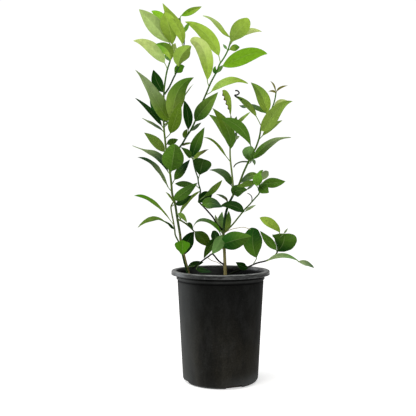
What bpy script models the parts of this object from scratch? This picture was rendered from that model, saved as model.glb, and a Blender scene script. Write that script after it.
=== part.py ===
"""A young lemon tree with two woody stems and a thin one, in a round black nursery pot.

Metres, +Z up. The origin is the middle of the pot's underside, and the front is towards -Y.

The stems and leaves are held as hand measurements in millimetres in one upright plane through the
pot's axis, as an eye in front of the plant sees them: x to the right of the axis, z above the ground.
Each also has its depth behind that plane, and seen() carries a measured point along its line of sight
to that depth.
"""

import math
from collections import namedtuple

import bmesh
import bpy
from mathutils import Vector

MM = 0.001

# Where the plant was measured from
EYE = Vector((-27.5, -1430.0, 396.0)) * MM

# Pot
POT_HEIGHT = 242 * MM
RIM_RADIUS = 108 * MM
MOUTH_RADIUS = 97.2 * MM
WALL_TOP_RADIUS = 94.8 * MM
WALL_TOP = 222 * MM
FOOT_RADIUS = 83 * MM
FOOT_ROUND = 10 * MM
PLASTIC = 2 * MM
FLOOR = 2.5 * MM
BAND_RADIUS = 96.8 * MM
BAND_HEIGHT = 5.5 * MM
BAND_SLOPE = 1.5 * MM
BAND_LEAN = 0.2 * MM
NECK_OUT = 0.9 * MM
NECK_SLOPE = 1.2 * MM
SKIRT_BOTTOM = 233.2 * MM
SKIRT_LEAN = 0.4 * MM
BEAD_OUT = 0.5 * MM
BEAD_HEIGHT = 3 * MM
RIM_ROUND = 2 * MM
MOUTH_ROUND = 1.2 * MM
POT_SIDES = 36
NOTCHES = 4
NOTCH_WIDTH = 44 * MM
NOTCH_TAPER = 0.7
NOTCH_HEIGHT = 7.5 * MM
NOTCH_REACH = 68 * MM
FIRST_NOTCH = math.radians(21)
WELD = 0.02 * MM

# Soil
SOIL_TOP = 212 * MM
SOIL_MOUND = 2.5 * MM
SOIL_RINGS = (0.92, 0.72, 0.5, 0.28)
SOIL_WAVES = (23 * MM, 19 * MM, 11 * MM)
GAP = 0.3 * MM
HOLE_SIDES = 16
TRUNK_SIDES = 8
TWIG_SIDES = 6
STEM_FOOT = 150 * MM

# Leaves
BLADE_HALF = 0.45 * MM
RIB_HALF = 0.6 * MM
STALK_RADIUS = 1.0 * MM
SMALL_STALK = 0.7
STALK_SWELL = 1.2
TIP_HALF_WIDTH = 0.6 * MM
OUTLINE_SKEW = 0.85
OUTLINE_FULLNESS = 0.9
TIP_ROUNDING = 0.9
BLUNT_TIP = 0.5
BROAD_STATIONS = (0.0, 0.13, 0.3, 0.5, 0.7, 0.88, 1.0)
BLADE_STATIONS = (0.0, 0.2, 0.5, 0.8, 1.0)
SMALL_STATIONS = (0.0, 0.35, 0.7, 1.0)
BROAD_WIDTH = 22.0
SMALL_WIDTH = 9.5
STALK_SLIDE = 1.7
STALK_SLIDE_MOST = 12
STEM_START_KEPT = 8
STALK_REACH = 5.0
TANGENT_STEP = 0.01

# Colours
BLACK_PLASTIC = (0.028, 0.030, 0.029)
POTTING_SOIL = (0.030, 0.022, 0.016)
BARK = (0.16, 0.15, 0.06)
LIME_LEAF = (0.26, 0.40, 0.08)
YOUNG_LEAF = (0.20, 0.32, 0.07)
FRESH_LEAF = (0.13, 0.25, 0.05)
LEAF = (0.09, 0.20, 0.04)
DARK_LEAF = (0.05, 0.13, 0.04)
OLD_LEAF = (0.03, 0.07, 0.02)

# A leaf: its midrib from the foot of the blade to the tip, its true length, which way it reaches
# (1 away from the eye, -1 towards it), its width, how far it is rolled about its midrib at the foot and
# at the tip (0 shows the upper face to the eye, 180 the lower one), how far its halves fold up, the
# share of the full outline at which the blade ends (less than 1 where the tip is blunt or curled),
# whether roll 0 faces the eye (0) or the sky (1), which suits a leaf that arches along the line of sight,
# and how near the tip it is widest (a small number is near the foot, 1 halfway, more nearer the tip).
Leaf = namedtuple("Leaf", "midrib length reach width roll tip_roll fold end sky skew",
                  defaults=(1.0, 0, OUTLINE_SKEW))

# A stem: its route as points (x, z, depth), and its radius at the start and at the end.
Stem = namedtuple("Stem", "route start_radius end_radius")

TRUNK_LEFT = Stem([(-67, 214, 6), (-71, 238, 6), (-76, 256, 6), (-82, 280, 7), (-87, 303, 8),
                   (-89, 320, 9), (-92, 338, 9), (-95, 355, 9), (-98, 376, 9)], 3.3, 2.6)
TRUNK_LEFT_LEAVES = [
    Leaf([(-82, 274), (-73, 303), (-58, 326)], 85, 1, 29, 5, 10, 12),
]

THIN_STEM = Stem([(-70, 214, -8), (-73, 236, -8), (-79, 256, -9), (-84, 276, -10), (-90, 299, -11),
                  (-99, 318, -13), (-101, 332, -14), (-104, 350, -15), (-107, 365, -15), (-109, 380, -15),
                  (-106, 388, -16), (-102, 394, -18)], 2.0, 1.6)
LEFT_LOW_LEAVES = [
    Leaf([(-84, 304), (-84, 290), (-84, 275)], 50, -1, 34, 0, 0, 10, skew=0.6),
    Leaf([(-102, 332), (-122, 347), (-150, 354), (-183, 334)], 95, -1, 16, 25, 200, 8),
    Leaf([(-104, 343), (-128, 372), (-158, 397), (-191, 405)], 108, -1, 16, 80, 45, 10, skew=1.3),
    Leaf([(-102, 396), (-80, 412), (-50, 434)], 80, -1, 24, 15, 0, 16),
    Leaf([(-104, 392), (-111, 403), (-121, 414)], 34, -1, 10, 72, 60, 8),
    Leaf([(-99, 387), (-84, 393), (-62, 407)], 50, 1, 16, 10, 0, 10),
]

LEFT_SIDE = Stem([(-94, 354, 5), (-84, 349, 2), (-74, 342, 0), (-65, 334, -2), (-58, 327, -4)], 1.9, 1.5)
LEFT_SIDE_LEAVES = [
    Leaf([(-89, 366), (-82, 383), (-66, 401), (-44, 416)], 75, 1, 18, 70, 50, 8),
    Leaf([(-93, 366), (-83, 360), (-74, 346)], 36, -1, 11, 10, 10, 10),
    Leaf([(-73, 345), (-67, 342), (-60, 332)], 30, 1, 9, 20, 20, 10),
    Leaf([(-56, 326), (-40, 313), (-18, 291)], 80, 1, 28, 10, 0, 14),
]

LEFT_TOP = Stem([(-98.1, 376.5, 9), (-101, 392, 8), (-106, 408, 7), (-108, 430, 6), (-110, 448, 5),
                 (-113, 468, 4), (-117, 490, 3), (-120, 510, 2), (-122, 530, 0), (-124, 550, -2),
                 (-125, 575, -4), (-125, 605, -6), (-124, 635, -7), (-121, 660, -6), (-117, 681, -4),
                 (-111, 700, -2), (-108, 714, 0)], 2.6, 1.7)
LEFT_TOP_TWIG = Stem([(-123, 628, -7), (-113, 643, -10), (-103, 664, -14), (-98, 674, -16),
                      (-91, 692, -18), (-85, 714, -20), (-80, 738, -18), (-81, 762, -12),
                      (-91, 795, -8)], 2.0, 1.3)
LEFT_TOP_LEAVES = [
    Leaf([(-101, 441), (-88, 459), (-67, 485)], 85, 1, 21, 5, 0, 14),
    Leaf([(-108, 460), (-104, 491), (-99, 519)], 88, -1, 49, 0, 0, 14, 0.9),
    Leaf([(-115, 424), (-130, 450), (-151, 476), (-184, 490)], 102, -1, 22, 74, 52, 10),
    Leaf([(-116, 459), (-135, 489), (-160, 502), (-195, 516)], 104, 1, 22, 10, 85, 12),
    Leaf([(-123, 502), (-143, 524), (-168, 544)], 78, -1, 22, 10, 10, 14),
    Leaf([(-118, 519), (-107, 524), (-93, 529)], 48, 1, 15, 0, 0, 10),
    Leaf([(-110, 543), (-99, 574), (-88, 612)], 86, -1, 28, 5, 0, 12),
    Leaf([(-112, 572), (-134, 601), (-156, 641), (-188, 682)], 134, -1, 38, 24, 30, 22, skew=0.6),
    Leaf([(-110, 574), (-102, 608), (-90, 641), (-58, 665)], 108, -1, 40, 0, 20, 12),
    Leaf([(-129, 559), (-143, 578), (-163, 600), (-188, 620)], 92, 1, 14, 25, 30, 12),
    Leaf([(-116, 567), (-139, 590), (-155, 620)], 82, 1, 20, 10, 10, 12),
    Leaf([(-127, 548), (-148, 562), (-173, 576)], 68, 1, 12, 58, 58, 10),
    Leaf([(-125, 633), (-139, 655), (-147, 682)], 72, 1, 25, 0, 0, 12),
    Leaf([(-123, 697), (-138, 717), (-161, 737), (-192, 745)], 92, -1, 27, 170, 185, 10),
    Leaf([(-109, 704), (-118, 727), (-142, 738)], 66, -1, 24, 175, 190, 10),
    Leaf([(-112, 702), (-113, 712), (-108, 722)], 48, 1, 20, 0, 0, 10),
    Leaf([(-104, 716), (-103, 729), (-99, 740)], 52, 1, 17, 180, 180, 10),
    Leaf([(-113, 742), (-135, 768), (-157, 793), (-179, 814)], 104, -1, 35, 178, 185, 12),
    Leaf([(-113, 745), (-128, 790), (-152, 810)], 84, 1, 25, 0, 0, 10),
    Leaf([(-106, 738), (-114, 780), (-123, 808)], 92, -1, 38, 175, 180, 12),
    Leaf([(-84, 738), (-90, 768), (-108, 797), (-127, 828)], 104, -1, 25, 182, 195, 14),
    Leaf([(-86, 800), (-64, 810), (-41, 820)], 62, 1, 15, 10, 0, 10),
    Leaf([(-80, 763), (-75, 774), (-68, 785)], 32, 1, 9, 0, 0, 8),
    Leaf([(-92, 690), (-85, 714), (-64, 734)], 76, -1, 35, 192, 180, 18),
    Leaf([(-100, 675), (-91, 684), (-79, 690)], 34, 1, 20, 0, 10, 14),
    Leaf([(-88, 610), (-74, 633), (-59, 651)], 62, 1, 12, 76, 80, 6),
]

INNER_TOP = Stem([(-110, 474, 7), (-102, 493, 15), (-91, 510, 20), (-83, 521, 22), (-75, 535, 24),
                  (-67, 547, 24), (-60, 560, 23), (-53, 576, 22), (-45, 597, 20), (-37, 617, 17),
                  (-30, 633, 14), (-23, 650, 11), (-17, 662, 8), (-12, 671, 6), (-7, 681, 4),
                  (-2, 694, 2), (5, 704, 0), (11, 714, -2), (17, 727, -4), (22, 745, -6)], 2.2, 1.6)
INNER_TOP_LEAVES = [
    Leaf([(-71, 551), (-72, 583), (-80, 615)], 88, 1, 22, 5, 5, 12),
    Leaf([(-77, 531), (-78, 541), (-73, 552)], 40, 1, 12, 0, 0, 10),
    Leaf([(-64, 548), (-54, 557), (-42, 566)], 45, 1, 9, 20, 20, 10),
    Leaf([(-55, 569), (-43, 588), (-27, 608), (-5, 633)], 90, -1, 32, 5, 0, 14),
    Leaf([(-86, 516), (-75, 520), (-60, 521)], 40, 1, 9, 50, 60, 6),
    Leaf([(-20, 634), (3, 653), (31, 660), (61, 651)], 92, -1, 21, 150, 135, 10),
    Leaf([(-29, 660), (-30, 698), (-42, 732), (-67, 746)], 108, -1, 32, 172, 165, 10, 0.88),
    Leaf([(-4, 713), (-19, 744), (-45, 771), (-79, 787)], 110, 1, 30, 175, 190, 12),
    Leaf([(21, 753), (2, 768), (-14, 787), (-40, 800)], 84, 1, 18, 55, 50, 10),
    Leaf([(23, 743), (41, 770), (65, 788)], 86, -1, 36, 180, 170, 12, 0.88),
    Leaf([(30, 748), (60, 766), (91, 765)], 74, 1, 14, 175, 175, 10),
    Leaf([(5, 690), (35, 704), (70, 717), (103, 716)], 106, 1, 35, 5, 0, 12),
    Leaf([(-8, 675), (-1, 684), (6, 692)], 24, 1, 9, 0, 0, 8),
    Leaf([(20, 726), (31, 730), (42, 731)], 38, 1, 15, 0, 0, 10),
    Leaf([(14, 727), (10, 732), (5, 738)], 16, 1, 6, 0, 0, 6),
    Leaf([(-10, 673), (-13, 681), (-11, 690)], 24, -1, 9, 0, 0, 8),
]

TRUNK_RIGHT = Stem([(11, 214, -4), (10.5, 238, -4), (9.5, 262, -4), (8.5, 285, -4), (7, 306, -4),
                    (6.5, 325, -4), (8, 345, -4), (12, 368, -4), (18, 387, -4), (26, 403, -5)], 4.0, 2.5)
TRUNK_RIGHT_THREAD = Stem([(7, 322, -4), (20, 330, -3), (35, 334, -2), (51, 336, -1), (66, 331, 0)],
                          0.8, 0.6)
TRUNK_RIGHT_LEAVES = [
    Leaf([(4, 319), (-4, 299), (-19, 277)], 62, -1, 25, 165, 175, 10),
    Leaf([(-1, 323), (-14, 341), (-39, 351), (-60, 336)], 82, -1, 15, 50, 55, 12),
    Leaf([(-6, 301), (-11, 315), (-15, 329)], 56, 1, 20, 0, 0, 10, 0.92),
    Leaf([(-4, 312), (-22, 295), (-37, 267)], 66, 1, 19, 0, 0, 12),
    Leaf([(0, 296), (33, 308), (69, 315)], 84, -1, 40, 0, 0, 12),
    Leaf([(3, 326), (0, 345), (4, 371)], 74, 1, 18, 10, 0, 12),
    Leaf([(10, 326), (16, 347), (18, 372)], 76, 1, 16, 0, 0, 12),
    Leaf([(-1, 330), (-7, 347), (-12, 364)], 50, 1, 9, 0, 0, 10),
    Leaf([(15, 391), (7, 402), (-10, 409)], 52, 1, 9, 50, 40, 8),
]

MIDDLE = Stem([(3, 328, -8), (-8, 343, -12), (-16, 357, -16), (-26, 369, -20), (-37, 381, -24),
               (-46, 391, -26), (-47, 404, -27), (-44, 416, -28), (-48, 431, -28), (-50, 445, -28),
               (-54, 457, -27), (-58, 471, -26), (-61, 489, -25)], 1.9, 1.4)
MIDDLE_LEAVES = [
    Leaf([(-40, 386), (-20, 389), (4, 380)], 72, -1, 25, 0, 0, 12),
    Leaf([(-49, 392), (-34, 403), (-17, 410)], 70, 1, 25, 10, 0, 12),
    Leaf([(-34, 405), (-14, 421), (4, 440)], 70, 1, 15, 20, 20, 14),
    Leaf([(-46, 452), (-42, 469), (-37, 486)], 56, 1, 42, 0, 0, 12, 0.68),
    Leaf([(-61, 490), (-53, 519), (-35, 556)], 84, 1, 25, 0, 0, 12),
    Leaf([(-59, 488), (-47, 498), (-25, 508)], 55, -1, 15, 130, 120, 10),
    Leaf([(-59, 430), (-82, 431), (-100, 432)], 50, 1, 14, 10, 0, 12),
    Leaf([(-64, 490), (-72, 499), (-87, 512)], 50, -1, 15, 20, 30, 12),
]

CENTRE = Stem([(27, 407, -3), (28, 419, 0), (27, 435, 4), (25, 455, 8), (23, 472, 12), (21.5, 488, 15),
               (21, 505, 17), (22, 530, 19), (22.5, 555, 20), (23, 580, 20)], 2.3, 1.6)
CENTRE_LEAVES = [
    Leaf([(24, 428), (14, 446), (-1, 457), (-25, 462)], 80, -1, 20, 25, 40, 14),
    Leaf([(13, 491), (1, 507), (-16, 525), (-38, 533)], 78, -1, 11, 62, 55, 10),
    Leaf([(22, 509), (20, 537), (6, 568), (-18, 598)], 104, -1, 27, 0, 5, 14),
    Leaf([(23, 512), (9, 552), (-26, 584)], 96, 1, 25, 0, 10, 12),
    Leaf([(24, 556), (45, 573), (66, 590)], 74, 1, 11, 40, 40, 10),
    Leaf([(24, 553), (31, 566), (35, 580)], 50, 1, 11, 10, 0, 10),
    Leaf([(22.5, 580), (19, 600), (13, 620), (4, 637)], 68, -1, 18, 20, 20, 16, 0.85, skew=1.3),
    Leaf([(27, 526), (35, 533), (42, 535)], 26, 1, 8, 0, 0, 8),
    Leaf([(26, 515), (31, 532), (36, 548)], 48, 1, 10, 0, 0, 8),
]

RIGHT_TOP = Stem([(26.2, 403.5, -5), (33, 416, -8), (41, 431, -11), (50, 455, -15), (61, 479, -19),
                  (66, 488, -21), (71, 499, -23), (78, 512, -24), (84, 529, -24), (87, 542, -23),
                  (89, 556, -22), (93, 570, -21), (102, 583, -20), (110, 592, -19), (116, 605, -18),
                  (120, 620, -17), (122, 634, -16)], 2.4, 1.4)
RIGHT_TOP_TWIG = Stem([(61, 480, -19), (46, 480, -16), (34, 475, -13), (29, 468, -10)], 1.9, 1.2)
RIGHT_TOP_CURL = Stem([(47, 615, 15), (40, 619, 21), (34, 623, 26), (31, 626, 28), (37, 627, 28),
                       (41, 631, 28), (37, 636, 28), (32, 636, 28)], 1.9, 1.6)
# The midrib of the narrow leaf below, which carries a scrap of leaf
RIGHT_TOP_RIB = Stem([(66, 596, -3), (50, 613, 12), (34, 623, 26)], 1.0, 1.0)
RIGHT_TOP_LEAVES = [
    Leaf([(27, 409), (39, 417), (59, 418)], 56, -1, 27, 0, 0, 14),
    Leaf([(67, 480), (63, 497), (58, 513)], 50, 1, 28, 0, 0, 10, 0.75),
    Leaf([(73, 487), (94, 511), (122, 529), (156, 533)], 106, 1, 23, 10, 72, 16, skew=0.7),
    Leaf([(70, 484), (74, 480), (75, 472)], 18, -1, 7, 0, 0, 8),
    Leaf([(92, 537), (112, 557), (136, 571)], 68, 1, 13, 10, 20, 10),
    Leaf([(90, 549), (108, 571), (128, 598), (159, 613)], 106, -1, 30, 5, 10, 14, skew=0.7),
    Leaf([(100, 587), (82, 597), (63, 608)], 60, 1, 16, 45, 45, 8),
    Leaf([(102, 588), (97, 610), (86, 633), (66, 654)], 86, -1, 28, 5, 0, 14),
    Leaf([(78, 580), (66, 596), (50, 613), (33, 623)], 76, 1, 17, 40, 30, 14),
    Leaf([(60, 603), (51, 601), (41, 604)], 26, 1, 7, 0, 0, 8),
    Leaf([(121, 633), (117, 648), (109, 657)], 30, 1, 4, 20, 20, 10),
    Leaf([(122, 633), (132, 643), (148, 647)], 34, -1, 5, 20, 20, 10),
    Leaf([(121, 631), (115, 635), (105, 634)], 24, -1, 5, 10, 10, 10),
    Leaf([(118, 601), (131, 611), (150, 612)], 60, 1, 13, 10, 20, 10),
    Leaf([(67, 514), (53, 542), (31, 563), (0, 574)], 98, -1, 25, 5, 0, 14, skew=1.2),
]

RIGHT_MIDDLE = Stem([(10, 322, -8), (20, 335, -14), (30, 346, -19), (38, 356, -23), (46, 366, -26),
                     (54, 376, -29), (62, 384, -31), (69, 392, -33), (77, 401, -35), (85, 411, -37),
                     (87, 424, -39), (84, 437, -40)], 1.8, 1.4)
RIGHT_MIDDLE_HOOK = Stem([(69, 393, -33), (69, 402, -33), (65, 408, -33), (59, 411, -33)], 1.2, 0.9)
RIGHT_MIDDLE_LEAVES = [
    Leaf([(50, 370), (37, 380), (19, 385), (-2, 381)], 58, -1, 21, 5, 20, 12),
    Leaf([(55, 371), (65, 379), (78, 385)], 40, -1, 7, 30, 30, 8),
    Leaf([(77, 436), (57, 431), (36, 425)], 66, -1, 13, 10, 0, 12),
    Leaf([(82, 451), (64, 448), (41, 432)], 58, 1, 16, 0, 0, 12),
    Leaf([(80, 427), (82, 444), (88, 459)], 62, -1, 21, 0, 10, 14),
    Leaf([(88, 439), (98, 452), (105, 459)], 52, 1, 16, 0, 0, 12),
    Leaf([(84, 445), (87, 455), (94, 462)], 40, 1, 9, 0, 0, 10),
    Leaf([(93, 434), (118, 434), (143, 437)], 78, -1, 22, 0, 0, 12),
    Leaf([(87, 430), (96, 420), (107, 413)], 58, -1, 24, 0, 0, 12),
    Leaf([(77, 435), (66, 425), (57, 419)], 40, 1, 7, 40, 40, 8),
]

RIGHT_LOW = Stem([(14, 229, -6), (30, 237, -12), (46, 243, -18), (62, 249, -24), (80, 257, -31),
                  (100, 262, -38), (112, 268, -42), (121, 275, -44), (126, 285, -42), (129, 303, -14),
                  (131, 321, 2)], 1.9, 1.5)
# The midrib of the long low leaf, which carries the lobe at its end
RIGHT_LOW_RIB = Stem([(125, 273, -50), (148, 273, -58), (174, 260, -65)], 1.0, 1.0)
RIGHT_LOW_LEAVES = [
    Leaf([(79, 270), (71, 303), (74, 335)], 92, 1, 44, 0, 0, 12, 0.9),
    Leaf([(126, 284), (138, 301), (141, 322)], 60, 1, 57, 0, 0, 14, 0.62),
    Leaf([(123, 286), (107, 304), (87, 328)], 74, 1, 19, 10, 10, 14),
    Leaf([(130, 323), (122, 336), (103, 349), (86, 357)], 66, -1, 21, 50, -10, 12, skew=1.2),
    Leaf([(103, 262), (125, 273), (148, 273), (174, 260)], 75, -1, 12, 30, 30, 8),
    Leaf([(60, 247), (50, 249), (42, 253), (33, 259)], 44, -1, 17, 10, 20, 16),
    Leaf([(139, 322), (144, 328), (148, 334)], 20, 1, 4, 0, 0, 6),
    Leaf([(172, 260), (190, 257), (207, 246)], 39, -1, 12, 20, 40, 10),
]

LOW_TWIG = Stem([(6, 251, -8), (-4, 262, -13), (-14, 274, -18), (-19, 277, -20), (-26, 272, -21),
                 (-36, 265, -22), (-46, 257, -23), (-56, 249, -23), (-64, 244, -22)], 1.9, 1.6)
LOW_TWIG_THREAD = Stem([(-29, 270, -21), (-20, 263, -15), (-8, 259, -12), (2, 253, -10)], 0.8, 0.6)
LOW_TWIG_LEAVES = [
    Leaf([(-71, 250), (-56, 255), (-37, 259)], 44, 1, 14, 0, 0, 14),
    Leaf([(-52, 243), (-38, 241), (-19, 237)], 40, -1, 11, 0, 0, 10),
]


def clear_scene():
    for thing in list(bpy.data.objects):
        bpy.data.objects.remove(thing, do_unlink=True)


def seen(x, z, depth):
    """The place, in metres, of a point measured at (x, z) that lies at this depth, all in millimetres."""
    scale = (depth * MM - EYE.y) / -EYE.y
    return Vector((EYE.x + (x * MM - EYE.x) * scale, depth * MM, EYE.z + (z * MM - EYE.z) * scale))


def material(name, colour, roughness):
    made = bpy.data.materials.new(name)
    made.use_nodes = True
    shader = made.node_tree.nodes["Principled BSDF"]
    shader.inputs["Base Color"].default_value = (*colour, 1.0)
    shader.inputs["Roughness"].default_value = roughness
    shader.inputs["Metallic"].default_value = 0.0
    return made


def piece_from(bm, name, collection=None):
    """Close off a bmesh as an object."""
    bmesh.ops.recalc_face_normals(bm, faces=bm.faces)
    mesh = bpy.data.meshes.new(name)
    bm.to_mesh(mesh)
    bm.free()
    made = bpy.data.objects.new(name, mesh)
    (collection or bpy.context.scene.collection).objects.link(made)
    return made


def finish(made, colour, roughness, sharp_degrees=None):
    """Give a piece its own material, and smooth shading where it is round."""
    made.data.materials.append(material(made.name, colour, roughness))
    if sharp_degrees is not None:
        made.data.shade_smooth()
        made.data.set_sharp_from_angle(angle=math.radians(sharp_degrees))
    return made


def arc(centre, radius, start_degrees, end_degrees, steps):
    """Points of an arc as (radius from the axis, height)."""
    points = []
    for step in range(steps + 1):
        angle = math.radians(start_degrees + (end_degrees - start_degrees) * step / steps)
        points.append((centre[0] + radius * math.cos(angle), centre[1] + radius * math.sin(angle)))
    return points


def turned(profile, sides):
    """Turn a profile of (radius, height) points, which starts and ends on the axis, about Z."""
    bm = bmesh.new()
    verts = [bm.verts.new((radius, 0.0, height)) for radius, height in profile]
    edges = [bm.edges.new(pair) for pair in zip(verts, verts[1:])]
    bmesh.ops.spin(bm, geom=verts + edges, axis=(0, 0, 1), cent=(0, 0, 0), steps=sides,
                   angle=math.tau, use_merge=True)
    bmesh.ops.remove_doubles(bm, verts=bm.verts, dist=WELD)
    return bm


def wall_radius(height):
    """Outer radius of the pot's tapered wall at a height."""
    share = (height - FOOT_ROUND) / (WALL_TOP - FOOT_ROUND)
    return FOOT_RADIUS + (WALL_TOP_RADIUS - FOOT_RADIUS) * share


def pot_profile():
    """The pot's section from the axis out over the foot, up the wall, round the rim and back inside."""
    flange_outer = RIM_RADIUS - PLASTIC
    band_bottom = WALL_TOP + BAND_SLOPE
    band_top = band_bottom + BAND_HEIGHT
    neck = (WALL_TOP_RADIUS + NECK_OUT, band_top + NECK_SLOPE)
    web = POT_HEIGHT - PLASTIC - SKIRT_LEAN
    foot_centre = (FOOT_RADIUS - FOOT_ROUND, FOOT_ROUND)
    outside = [(0.0, 0.0)] + arc(foot_centre, FOOT_ROUND, -90, 0, 3) + [
        (WALL_TOP_RADIUS, WALL_TOP),
        (BAND_RADIUS, band_bottom),
        (BAND_RADIUS + BAND_LEAN, band_top),
        neck,
        (MOUTH_RADIUS + MOUTH_ROUND, web),
    ]
    skirt = [
        (flange_outer - SKIRT_LEAN, web),
        (flange_outer, SKIRT_BOTTOM),
        (RIM_RADIUS, SKIRT_BOTTOM),
        (RIM_RADIUS + BEAD_OUT, SKIRT_BOTTOM + BEAD_HEIGHT / 2),
        (RIM_RADIUS, SKIRT_BOTTOM + BEAD_HEIGHT),
    ] + arc((RIM_RADIUS - RIM_ROUND, POT_HEIGHT - RIM_ROUND), RIM_ROUND, 0, 90, 2)
    inside = [
        (MOUTH_RADIUS + MOUTH_ROUND, POT_HEIGHT),
        (MOUTH_RADIUS, POT_HEIGHT - MOUTH_ROUND),
        (neck[0] - PLASTIC, neck[1]),
        (WALL_TOP_RADIUS - PLASTIC, WALL_TOP),
    ] + arc(foot_centre, FOOT_ROUND - PLASTIC, 0, -90, 2)[:-1] + [
        (FOOT_RADIUS - FOOT_ROUND, FLOOR),
        (0.0, FLOOR),
    ]
    return outside + skirt + inside


def notch_cutter():
    """The drain notches as one guide: a block across the foot for each."""
    bm = bmesh.new()
    for number in range(NOTCHES):
        angle = FIRST_NOTCH + number * math.tau / NOTCHES
        outward = Vector((math.sin(angle), -math.cos(angle), 0.0))
        across = Vector((math.cos(angle), math.sin(angle), 0.0)) * NOTCH_WIDTH / 2
        corners = []
        for height, shrink in ((-FLOOR, 1.0), (NOTCH_HEIGHT, NOTCH_TAPER)):
            for reach, side in ((NOTCH_REACH, -1), (RIM_RADIUS, -1), (RIM_RADIUS, 1), (NOTCH_REACH, 1)):
                corners.append(bm.verts.new(outward * reach + across * side * shrink
                                            + Vector((0.0, 0.0, height))))
        for corner in range(4):
            following = (corner + 1) % 4
            bm.faces.new((corners[corner], corners[following],
                          corners[following + 4], corners[corner + 4]))
        bm.faces.new(corners[:4])
        bm.faces.new(corners[4:])
    return piece_from(bm, "notch_guide")


def cut(target, guide):
    """Take a guide's shape out of a piece, and keep the guide out of sight."""
    guide.hide_render = True
    guide.display_type = "WIRE"
    boolean = target.modifiers.new(guide.name, "BOOLEAN")
    boolean.operation = "DIFFERENCE"
    boolean.solver = "EXACT"
    boolean.object = guide


def make_pot():
    pot = finish(piece_from(turned(pot_profile(), POT_SIDES), "pot"), BLACK_PLASTIC, 0.48, 35)
    cut(pot, notch_cutter())


def soil_height(x, y):
    """Gently uneven top of the soil."""
    across, deep, slanted = SOIL_WAVES
    wave = math.sin(x / across) * math.cos(y / deep) + math.sin((x + y) / slanted) / 2
    return SOIL_TOP + SOIL_MOUND * wave / 2


def make_soil(stem_feet):
    """The soil inside the wall, with a plain round hole for each stem that stands in it."""
    bottom = FLOOR + GAP
    side_bottom = FOOT_ROUND + PLASTIC
    top_radius = wall_radius(SOIL_TOP) - PLASTIC - 2 * GAP
    profile = [(0.0, bottom), (FOOT_RADIUS - FOOT_ROUND - PLASTIC, bottom),
               (wall_radius(side_bottom) - PLASTIC - 2 * GAP, side_bottom),
               (top_radius, SOIL_TOP - SOIL_MOUND)]
    profile += [(top_radius * share, SOIL_TOP) for share in SOIL_RINGS] + [(0.0, SOIL_TOP)]
    bm = turned(profile, POT_SIDES)
    for vert in bm.verts:
        if vert.co.z > SOIL_TOP - GAP:
            vert.co.z = soil_height(vert.co.x, vert.co.y)
    soil = finish(piece_from(bm, "soil"), POTTING_SOIL, 0.95, 50)
    hole_bottom = STEM_FOOT - GAP
    hole_top = SOIL_TOP + FOOT_ROUND
    for number, (foot, radius) in enumerate(stem_feet):
        hole_radius = (radius + GAP) / math.cos(math.pi / HOLE_SIDES)
        bm = bmesh.new()
        bmesh.ops.create_cone(bm, cap_ends=True, segments=HOLE_SIDES, radius1=hole_radius,
                              radius2=hole_radius, depth=hole_top - hole_bottom)
        bmesh.ops.translate(bm, verts=bm.verts, vec=(foot.x, foot.y, (hole_top + hole_bottom) / 2))
        cut(soil, piece_from(bm, f"stem_hole_guide_{number + 1}"))


def loft(rings):
    """Skin rings of equal length and close both ends. The two faces of a blade split alike."""
    bm = bmesh.new()
    made = [[bm.verts.new(point) for point in ring] for ring in rings]
    count = len(rings[0])
    for ring, after in zip(made, made[1:]):
        for side in range(count):
            following = (side + 1) % count
            a, b = ring[side], ring[following]
            c, d = after[following], after[side]
            if count == 6 and side in (0, 3):
                bm.faces.new((a, b, d))
                bm.faces.new((b, c, d))
            else:
                bm.faces.new((a, b, c))
                bm.faces.new((a, c, d))
    caps = [bm.faces.new(made[0]), bm.faces.new(made[-1])]
    bmesh.ops.triangulate(bm, faces=caps)
    return bm


def ring_about(centre, side, up, radius, sides):
    ring = []
    for number in range(sides):
        angle = math.tau * number / sides
        ring.append(centre + side * (radius * math.cos(angle)) + up * (radius * math.sin(angle)))
    return ring


def tube_rings(points, radii, sides):
    """Rings along a route that turn no more than the route does."""
    rings = []
    side = None
    for number, centre in enumerate(points):
        before = points[max(number - 1, 0)]
        after = points[min(number + 1, len(points) - 1)]
        tangent = (after - before).normalized()
        if side is None:
            side = tangent.cross(Vector((0.0, 1.0, 0.0))).normalized()
        side = (side - tangent * side.dot(tangent)).normalized()
        rings.append(ring_about(centre, side, side.cross(tangent), radii[number], sides))
    return rings


def stem_points(stem):
    return [seen(*point) for point in stem.route]


def stem_radii(stem):
    last = len(stem.route) - 1
    change = stem.end_radius - stem.start_radius
    return [(stem.start_radius + change * number / last) * MM for number in range(last + 1)]


def stem_body(stem, foot=None, sides=TWIG_SIDES):
    """A stem as a closed tube. A foot, where it has one, comes before its first point."""
    points = stem_points(stem)
    radii = stem_radii(stem)
    if foot is not None:
        points.insert(0, foot)
        radii.insert(0, radii[0])
    return loft(tube_rings(points, radii, sides))


def clear_of(stem, carrier):
    """Shift a side stem's first point along its own direction until it just clears its carrier."""
    points = stem_points(stem)
    carrier_points = stem_points(carrier)
    radii = stem_radii(carrier)
    start = points[0]
    nearest = min(range(len(carrier_points) - 1),
                  key=lambda n: ((carrier_points[n] + carrier_points[n + 1]) / 2 - start).length)
    low, high = carrier_points[nearest], carrier_points[nearest + 1]
    axis = (high - low).normalized()
    on_axis = low + axis * (start - low).dot(axis)
    heading = (points[1] - on_axis).normalized()
    cosine = abs(heading.dot(axis))
    sine = math.sqrt(1 - cosine * cosine)
    reach = (radii[nearest] + GAP + stem.start_radius * MM * cosine) / sine
    return [on_axis + heading * reach] + points[1:]


def side_stem_body(stem, carrier):
    return loft(tube_rings(clear_of(stem, carrier), stem_radii(stem), TWIG_SIDES))


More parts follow.
